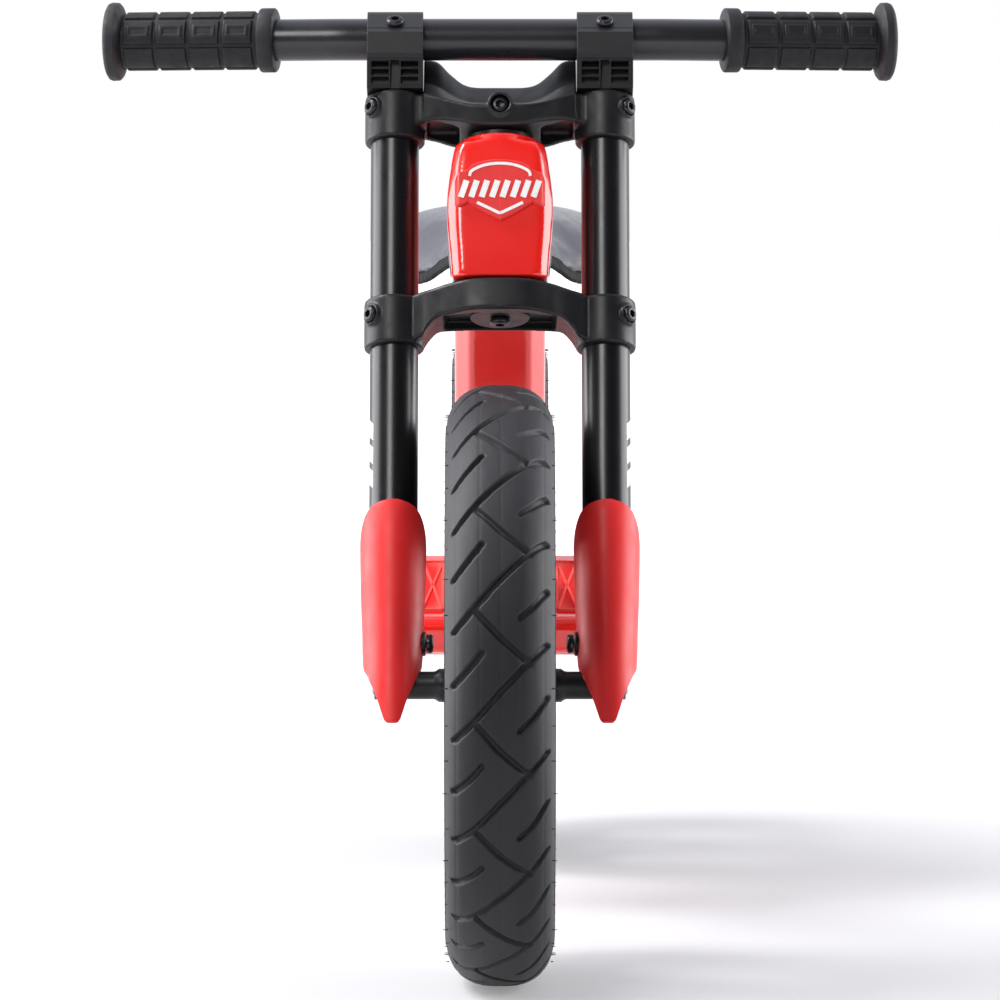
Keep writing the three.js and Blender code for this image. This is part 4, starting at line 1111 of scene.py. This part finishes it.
def add_bolts():
    for name, side in SIDES.items():
        for level, height in PINCH_HEIGHT.items():
            pinch = towards_pinch(moved(socket_bolt(4.2, 3.4, 1.8, 2.2), (0, 15.5, 0)), side, height)
            add_to_fork(f"pinch_screw_{level}_{name}", pinch, "bolt_black", f"pinch_bolt_{level}_{name}")
        guard = moved(socket_bolt(5, 3.6, 2.1, 13), (side * 38.1, *GUARD_BOLT), side * math.pi / 2)
        add_to_fork(f"guard_screw_{name}", guard, "bolt_black", f"guard_bolt_{name}")
        clamp = moved(on_facet(moved(socket_bolt(4.6, 2.6, 2, 1.6), (0, 0.3, 0))), (side * LEG_X, 0, 0))
        add_to_fork(f"clamp_screw_{name}", clamp, "bolt_black", f"clamp_bolt_{name}")
    centre = moved(socket_bolt(4.7, 4, 2.5, 4), (0, -18.7, CENTRE_BOLT_HEIGHT), math.pi)
    add_to_fork("crown_centre_screw", centre, "bolt_black", "crown_centre_bolt")
    under = moved(socket_bolt(5.2, 3, 3, 24), (0, 0, 201.3), -math.pi / 2, "X")
    add_to_fork("steerer_screw", under, "bolt_black", "steerer_bolt")
    seat_clamp = moved(socket_bolt(4.4, 4, 2.4, 18), (8.3, 27, 101), -math.pi / 2)
    add("seat_clamp_screw", seat_clamp, SEATING, "frame", "bolt_black", "seat_clamp_bolt")
    saddle = moved(socket_bolt(4.6, 3, 2.4, 36), (17.3, 0, 150), -math.pi / 2)
    add("saddle_screw", saddle, SEATING, "seat", "bolt_black", "saddle_bolt")


# ---- fork legs and guards

# height, how far ahead of the leg's middle, and the angle it wraps to each side
GUARD_STATIONS = [
    (-23.9, 21.3, 8), (-22.8, 21.5, 14), (-18, 21.5, 20), (-11.7, 21.5, 27.6), (-5, 21.5, 38), (3, 21.5, 55),
    (8, 21.5, 70), (12, 21.5, 77), (17, 21.5, 83), (28, 21.5, 92), (50, 21.5, 96), (72, 21.2, 93),
    (79, 20.8, 84), (86, 20.2, 69), (91.5, 19.5, 53), (95, 18.8, 35), (97.2, 18.1, 8),
]
GUARD_WIDTHS = [(-24, 16.6), (15, 15.7), (28, 15.9), (50, 16.8), (75, 17.3), (97, 17)]
GUARD_WALL = 2.6
STRIPE_HEIGHTS = (112, 125, 138)


def guard_shape(side):
    """A half shell in front of a fork leg."""
    rings = []
    for height, forward, wrap in smooth_rows(GUARD_STATIONS, 110):
        width = np.interp(height, *np.array(GUARD_WIDTHS).T)
        ring = []
        for inset, turn in ((0, 1), (GUARD_WALL, -1)):
            for angle in np.radians(np.linspace(-wrap, wrap, 33))[::turn]:
                ring.append((side * LEG_X + (width - inset) * math.sin(angle),
                             -(forward - inset) * math.cos(angle), height))
        rings.append(ring)
    return loft(rings)


def stripe_shape(side, bottom):
    """A plain slanted stripe stuck to a fork leg's outer side."""
    rings = []
    for angle in np.radians(np.linspace(-34, 34, 17)):
        height = bottom + 0.16 * math.degrees(angle)
        ring = []
        for radius, z in ((12.6, 0), (12.82, 0), (12.82, 9), (12.6, 9)):
            ring.append((side * (LEG_X + radius * math.cos(angle)), radius * math.sin(angle), height + z))
        rings.append(ring)
    return loft(rings)


def add_legs():
    for name, side in SIDES.items():
        tube = turned([(20, 10.7), (20, 12.7), (324, 12.7), (324.6, 12.1), (324.6, 10.7)], 80)
        add_to_fork(f"fork_leg_{name}", moved(tube, (side * LEG_X, 0, 0)), "tube_black", f"stanchion_{name}")
        add_to_fork(f"fork_guard_{name}", guard_shape(side), "guard_red", f"leg_guard_{name}",
                    bevel=0.9, angle=50)
        stripes = merged(*(stripe_shape(side, bottom) for bottom in STRIPE_HEIGHTS))
        add_to_fork(f"fork_stripes_{name}", stripes, "tube_black", look=WHITE_PRINT)
        dress_node(f"fork_end_{name}", "cast_black", bevel=0.6)
        boss = turned([(-4, 0), (-4, 6.4), (-0.6, 6.4), (0, 5.8), (0, 0)], 48, "y")
        boss = moved(boss, (side * 38.4, *GUARD_BOLT), side * math.pi / 2)
        add_to_fork(f"guard_washer_{name}", boss, "cast_black")


def add_steerer():
    tube = turned([(204.6, 10.3), (204.6, 12.7), (311.5, 12.7), (311.5, 10.3)], 64)
    add_to_fork("steerer", tube, "bearing_steel", "steerer_tube")
    washer = [(201.6, 3.4), (201.6, 14.8), (202.2, 15.5), (204, 15.5), (204.3, 15.2), (204.3, 3.4)]
    add_to_fork("steerer_cap", turned(washer, 64), "cast_black", "steerer_washer")
    for name, low, high in (("lower", 217.8, 227.6), ("upper", 291.4, 301.3)):
        cup = [(low, 13), (low, 18.2), (low + 0.5, 18.7), (high - 0.5, 18.7), (high, 18.2), (high, 13)]
        add(f"headset_cup_{name}", turned(cup, 72), STEERING, "frame", "cast_black",
            f"headset_bearing_{name}")


# ---- handlebar and grips


BEND_START = 80
BEND_LENGTH = 12
SWEPT_BACK, SWEPT_UP = 0.954, 0.3


def bar_point(x):
    """The bar's centre line: straight in the middle, then swept back."""
    beyond = max(abs(x) - BEND_START, 0)
    swept = beyond * beyond / (2 * BEND_LENGTH) if beyond < BEND_LENGTH else beyond - BEND_LENGTH / 2
    swept *= math.tan(BAR_SWEEP)
    return np.array([x, SWEPT_BACK * swept, BAR_HEIGHT + SWEPT_UP * swept])


def bar_frame(x):
    """The bar's centre, and the two directions across it, ahead and up."""
    along = bar_point(x + 0.5) - bar_point(x - 0.5)
    along /= np.linalg.norm(along)
    up = np.cross(along, [0, SWEPT_BACK, SWEPT_UP])
    up /= np.linalg.norm(up)
    return bar_point(x), np.cross(up, along), up


def add_bar():
    half = np.concatenate([np.linspace(79, 93, 12), np.linspace(95, 202.5, 12)])
    rings = []
    for x in (*-half[::-1], *np.linspace(-75, 75, 15), *half):
        centre, back, up = bar_frame(x)
        across = np.outer(np.cos(circle(64)), back) + np.outer(np.sin(circle(64)), up)
        rings.append(centre + BAR_RADIUS * across)
    # the bar wears the lighter, painted-light copy of the tube black
    add("bar_tube", loft(rings), STEERING, "handlebar", "tube_black", "handlebar", look=PAINTED_LIT_BAR_BLACK)


BAR_END = 203
GRIP_LENGTH = 91
GRIP_OVERHANG = 5.6
# stations from the grip's inner end, and radii
GRIP_PROFILE = [
    (0, 16.2), (0.5, 16.9), (1, 17.1), (7.4, 17.1), (8.2, 16.7), (9, 14.5), (81.8, 14.5), (82.6, 15.8),
    (84, 19.4), (85.2, 20.7), (88.4, 20.9), (90, 20.3), (90.8, 19), (GRIP_LENGTH, 17),
]
BLOCK_COLUMNS = 4
BLOCK_ROWS = 6
BLOCK_SPAN = (10, 81.4)
BLOCK_RADIUS = 15
BLOCK_RISE = 1.1
BLOCK_GAP = 0.85
BLOCK_EDGE = 0.6
FRAME_HALVES = ((6.2, 3.6), (4.6, 2.0))
FRAME_RISE = 0.45
FRAME_EDGE = 0.5
GRIP_TURNS = 216
ROW_ANGLE = 2 * math.pi / BLOCK_ROWS
ROW_OFFSET = math.radians(-13.4)


def block_height(along, angle):
    """Raised pads on the grip: four columns by six rows, with a rounded frame on each front pad."""
    start, end = BLOCK_SPAN
    pitch = (end - start) / BLOCK_COLUMNS
    width = ROW_ANGLE * BLOCK_RADIUS
    across = np.abs((along - start) / pitch % 1 - 0.5) * pitch
    row = np.abs((angle - ROW_OFFSET) / ROW_ANGLE % 1 - 0.5) * width
    inside = np.minimum(pitch / 2 - BLOCK_GAP - across, width / 2 - BLOCK_GAP - row)
    inside = np.where((along > start) & (along < end), inside, -1)
    front = np.abs((angle - ROW_OFFSET) / ROW_ANGLE - 0.5) < 0.5
    outer, inner = (np.minimum(x - across, y - row) / FRAME_EDGE for x, y in FRAME_HALVES)
    frame_rise = FRAME_RISE * (smooth_step(outer) - smooth_step(inner))
    return BLOCK_RISE * smooth_step(inside / BLOCK_EDGE) + np.where(front & (inside > 0), frame_rise, 0)


def grip_shape(side):
    """The grip's sleeve, from its inner end out to its flange, with angles measured from the front."""
    profile = np.array(GRIP_PROFILE)
    stations = np.unique(np.concatenate([profile[:, 0], np.arange(9, 82, 0.45)]))
    angle = circle(GRIP_TURNS)
    signed = (angle + np.pi) % (2 * np.pi) - np.pi
    along = bar_point(side * 200) - bar_point(side * 150)
    along /= np.linalg.norm(along)
    start = bar_point(side * (BAR_END - (GRIP_LENGTH - GRIP_OVERHANG) * math.cos(BAR_SWEEP)))
    up = bar_frame(side * 150)[2]
    up *= np.sign(up[2])
    ahead = np.cross(up, along)
    ahead *= -np.sign(ahead[1])
    rings = []
    for station, radius in zip(stations, np.interp(stations, *profile.T)):
        height = radius + block_height(np.full(GRIP_TURNS, station), signed)
        ring = np.outer(np.cos(angle) * height, ahead) + np.outer(np.sin(angle) * height, up)
        rings.append(start + along * station + ring)
    return loft(rings)


def add_grips():
    for name, side in SIDES.items():
        add(f"grip_sleeve_{name}", grip_shape(side), STEERING, "handlebar", "grip_rubber", f"grip_{name}")


# ---- saddle

# distance back, half width, the top's height and how far the sides come down
SADDLE_STATIONS = [
    (331, 13, 367.5, 10), (334, 19, 370, 13.5), (342, 24, 371.5, 15), (360, 28.5, 372, 17),
    (385, 36, 372, 22), (410, 46, 373, 31), (440, 57, 376, 37), (470, 64.5, 379, 40),
    (495, 66, 381.2, 38), (510, 62, 381.4, 32), (519, 53, 379.8, 24), (523, 44, 376.5, 17),
]
SADDLE_SHOULDER = 1.4
TURN_UNDER = math.radians(104)
PAD_RIM = 6
PAD_SHRINK = 1.2
PAD_VOXEL = 3.2
PAD_SWELL = 5
CLOTH_STEPS = 20


def saddle_layer(outer, inner, rim=0.0, reach=math.pi / 2, shrink=0.0, rows=44, trim=0):
    """A curved layer of the saddle between two (top, side) depths.

    Its edge stops short of the saddle's own lower edge by rim, and reach says how far it turns under.
    """
    stations = smooth_rows(SADDLE_STATIONS, rows)
    deepest = (1 - math.cos(reach)) ** SADDLE_SHOULDER
    rings = []
    for y, half_width, top, drop in stations[trim:rows - trim]:
        ring = []
        for (top_depth, side_depth), turn in ((outer, 1), (inner, -1)):
            for angle in np.linspace(-reach, reach, 31)[::turn]:
                lowest = max(drop - rim - top_depth, 0.5)
                fall = lowest * (1 - math.cos(angle)) ** SADDLE_SHOULDER / deepest
                width = half_width - side_depth - shrink
                ring.append((width * math.sin(angle), y, top - top_depth - shrink - fall))
        rings.append(ring)
    return loft(rings)


def inflate(obj, cap):
    """Swells a closed pad under pressure, and holds each point within cap of where it began."""
    cloth = obj.modifiers.new("Cloth", "CLOTH")
    settings = cloth.settings
    settings.quality = 5
    settings.mass = 0.3
    settings.use_pressure = True
    settings.uniform_pressure_force = 4
    settings.effector_weights.gravity = 0
    start = np.zeros(len(obj.data.vertices) * 3)
    obj.data.vertices.foreach_get("co", start)
    for step in range(1, CLOTH_STEPS + 1):
        bpy.context.scene.frame_set(step)
    settle(obj)
    swollen = np.zeros(len(start))
    obj.data.vertices.foreach_get("co", swollen)
    shift = (swollen - start).reshape(-1, 3)
    length = np.maximum(np.linalg.norm(shift, axis=1), 1e-9)
    shift *= np.minimum(1, cap * MM / length)[:, None]
    obj.data.vertices.foreach_set("co", (start.reshape(-1, 3) + shift).ravel())
    obj.data.update()
    bpy.context.scene.frame_set(1)


def add_saddle_pad():
    """The cushion: a slightly smaller shape, swollen by the cloth simulation and smoothed."""
    layer = saddle_layer((0, 0), (9, 7), rim=PAD_RIM, reach=TURN_UNDER, shrink=PAD_SHRINK)
    pad = mesh_object("saddle_cushion", layer, REAR_OF_FRONT_AXLE)
    remesh(pad, PAD_VOXEL)
    settle(pad)
    inflate(pad, PAD_SWELL)
    relax(pad, rounds=8)
    finer = pad.modifiers.new("Finer", "SUBSURF")
    finer.levels = finer.render_levels = 1
    settle(pad)
    pad.data.shade_smooth()
    finish_piece(pad, "seat", "saddle_foam", "saddle_pad")


def add_seat():
    shell = saddle_layer((8, 2.6), (15.5, 6.5), rows=60, trim=1)
    socket = turned([(140, 13), (140, 16.4), (140.6, 17), (170, 17), (170, 13)], 72)
    rib_side = ((355, 357.6), (500, 366.4), (500, 350), (470, 340), (400, 338), (355, 350))
    rib = [[(x, y, z) for y, z in rib_side] for x in (-4, 4)]
    base = mesh_object("saddle_pan", merged(shell, to_bike(socket, SEATING), loft(rib)), REAR_OF_FRONT_AXLE)
    fuse(base, voxel=1.2, rounds=3)
    finish_piece(base, "seat", "saddle_shell", "saddle_base")
    post = turned([(30, 10.7), (30, 12.2), (30.5, 12.7), (164, 12.7), (164, 10.7)], 72)
    add("seat_pillar", post, SEATING, "seat", "tube_black", "seat_post")
    dress_node("seat_clamp", "cast_black", bevel=0.5)
    add_saddle_pad()


# ---- stage


FRONT_DIM = 0.1
WORLD_TINT = (0.93, 0.95, 1.05, 1)
WHITE = (1, 1, 1, 1)
FLOOR_COLOUR = (176, 176, 178)
GLOW_REACH = (0.6, 2.2)
GLOW = (0.25, 1.1)
CAMERA_PLACE = (0, -4.2825, 0.57)
CAMERA_DIP = math.radians(4.56)
CAMERA_LENS = 280.4


def add_floor():
    """A pale floor that glows more and more with distance, so that it ends in the white backdrop."""
    rings = [[(x, y, z) for x, y in ((-6, -6), (-6, 8), (6, 8), (6, -6))] for z in (-0.02, 0)]
    floor = mesh_object("studio_floor", loft(rings), Matrix.Identity(4))
    look = Surface("studio_floor", FLOOR_COLOUR, Roughness=0.75, Specular_IOR_Level=0.2,
                   Emission_Color=WHITE)
    look.cloud(3, 2, 0.3, 0.7, 0.1, (178, 178, 180))
    distance = look.nodes.new("ShaderNodeVectorMath")
    distance.operation = "LENGTH"
    look.links.new(look.place, distance.inputs[0])
    glow = look.levels(distance.outputs["Value"], *GLOW_REACH, *GLOW)
    look.links.new(glow, look.shader.inputs["Emission Strength"])
    floor.data.materials.append(look.material)


def add_light(name, place, target, size, power):
    """A soft rectangular lamp that faces its target."""
    data = bpy.data.lights.new(name, "AREA")
    data.shape = "RECTANGLE"
    data.size, data.size_y = size
    data.energy = power
    light = new_object(name, data)
    light.location = place
    light.rotation_euler = (Vector(target) - Vector(place)).to_track_quat("-Z", "Y").to_euler()


def studio_world():
    """A white backdrop, whose light comes mostly from behind and above and little from the front."""
    world = bpy.data.worlds.new("studio")
    world.use_nodes = True
    tree = world.node_tree
    nodes, links = tree.nodes, tree.links
    light, backdrop = nodes["Background"], nodes.new("ShaderNodeBackground")
    backdrop.inputs["Color"].default_value = WHITE
    light.inputs["Color"].default_value = WORLD_TINT
    parts = nodes.new("ShaderNodeSeparateXYZ")
    links.new(nodes.new("ShaderNodeTexCoord").outputs["Generated"], parts.inputs["Vector"])
    strength = map_range(tree, parts.outputs["Y"], -0.5, 0.35, FRONT_DIM, 1.0, "SMOOTHSTEP")
    links.new(strength, light.inputs["Strength"])
    mix = nodes.new("ShaderNodeMixShader")
    links.new(nodes.new("ShaderNodeLightPath").outputs["Is Camera Ray"], mix.inputs["Fac"])
    links.new(light.outputs["Background"], mix.inputs[1])
    links.new(backdrop.outputs["Background"], mix.inputs[2])
    links.new(mix.outputs["Shader"], nodes["World Output"].inputs["Surface"])
    bpy.context.scene.world = world


def add_studio():
    studio_world()
    add_light("key_left_front", (-0.95, -2.35, 2.3), (0, -0.1, 0.3), size=(0.9, 1.1), power=34)
    add_light("overhead_left", (-1.9, 0.2, 2.6), (0.1, 0, 0), size=(1.1, 1.3), power=98)
    for name, side in SIDES.items():
        add_light(f"edge_{name}", (side * 1.95, 0.32, 0.7), (0, -0.1, 0.35), size=(1.7, 1.6), power=47)
    add_floor()
    bpy.context.scene.view_settings.view_transform = "Standard"


def add_camera():
    """Straight ahead of the bike, a little above it and looking slightly down."""
    data = bpy.data.cameras.new("camera")
    data.sensor_width = 36
    data.lens = CAMERA_LENS
    data.clip_end = 60
    camera = new_object("camera", data)
    camera.location = CAMERA_PLACE
    camera.rotation_euler = (math.pi / 2 - CAMERA_DIP, 0, 0)
    bpy.context.scene.camera = camera


# ---- the whole bike

add_camera()
add_tyres()
add_wheels()
add_frame()
add_badge()
lower_crown()
upper_crown()
add_bolts()
add_legs()
add_steerer()
for side_name in SIDES:
    dress_node(f"bar_riser_{side_name}", "cast_black", bevel=0.35)
    dress_node(f"bar_clamp_cap_{side_name}", "cast_black", bevel=0.5)
add_bar()
add_grips()
add_seat()
add_studio()
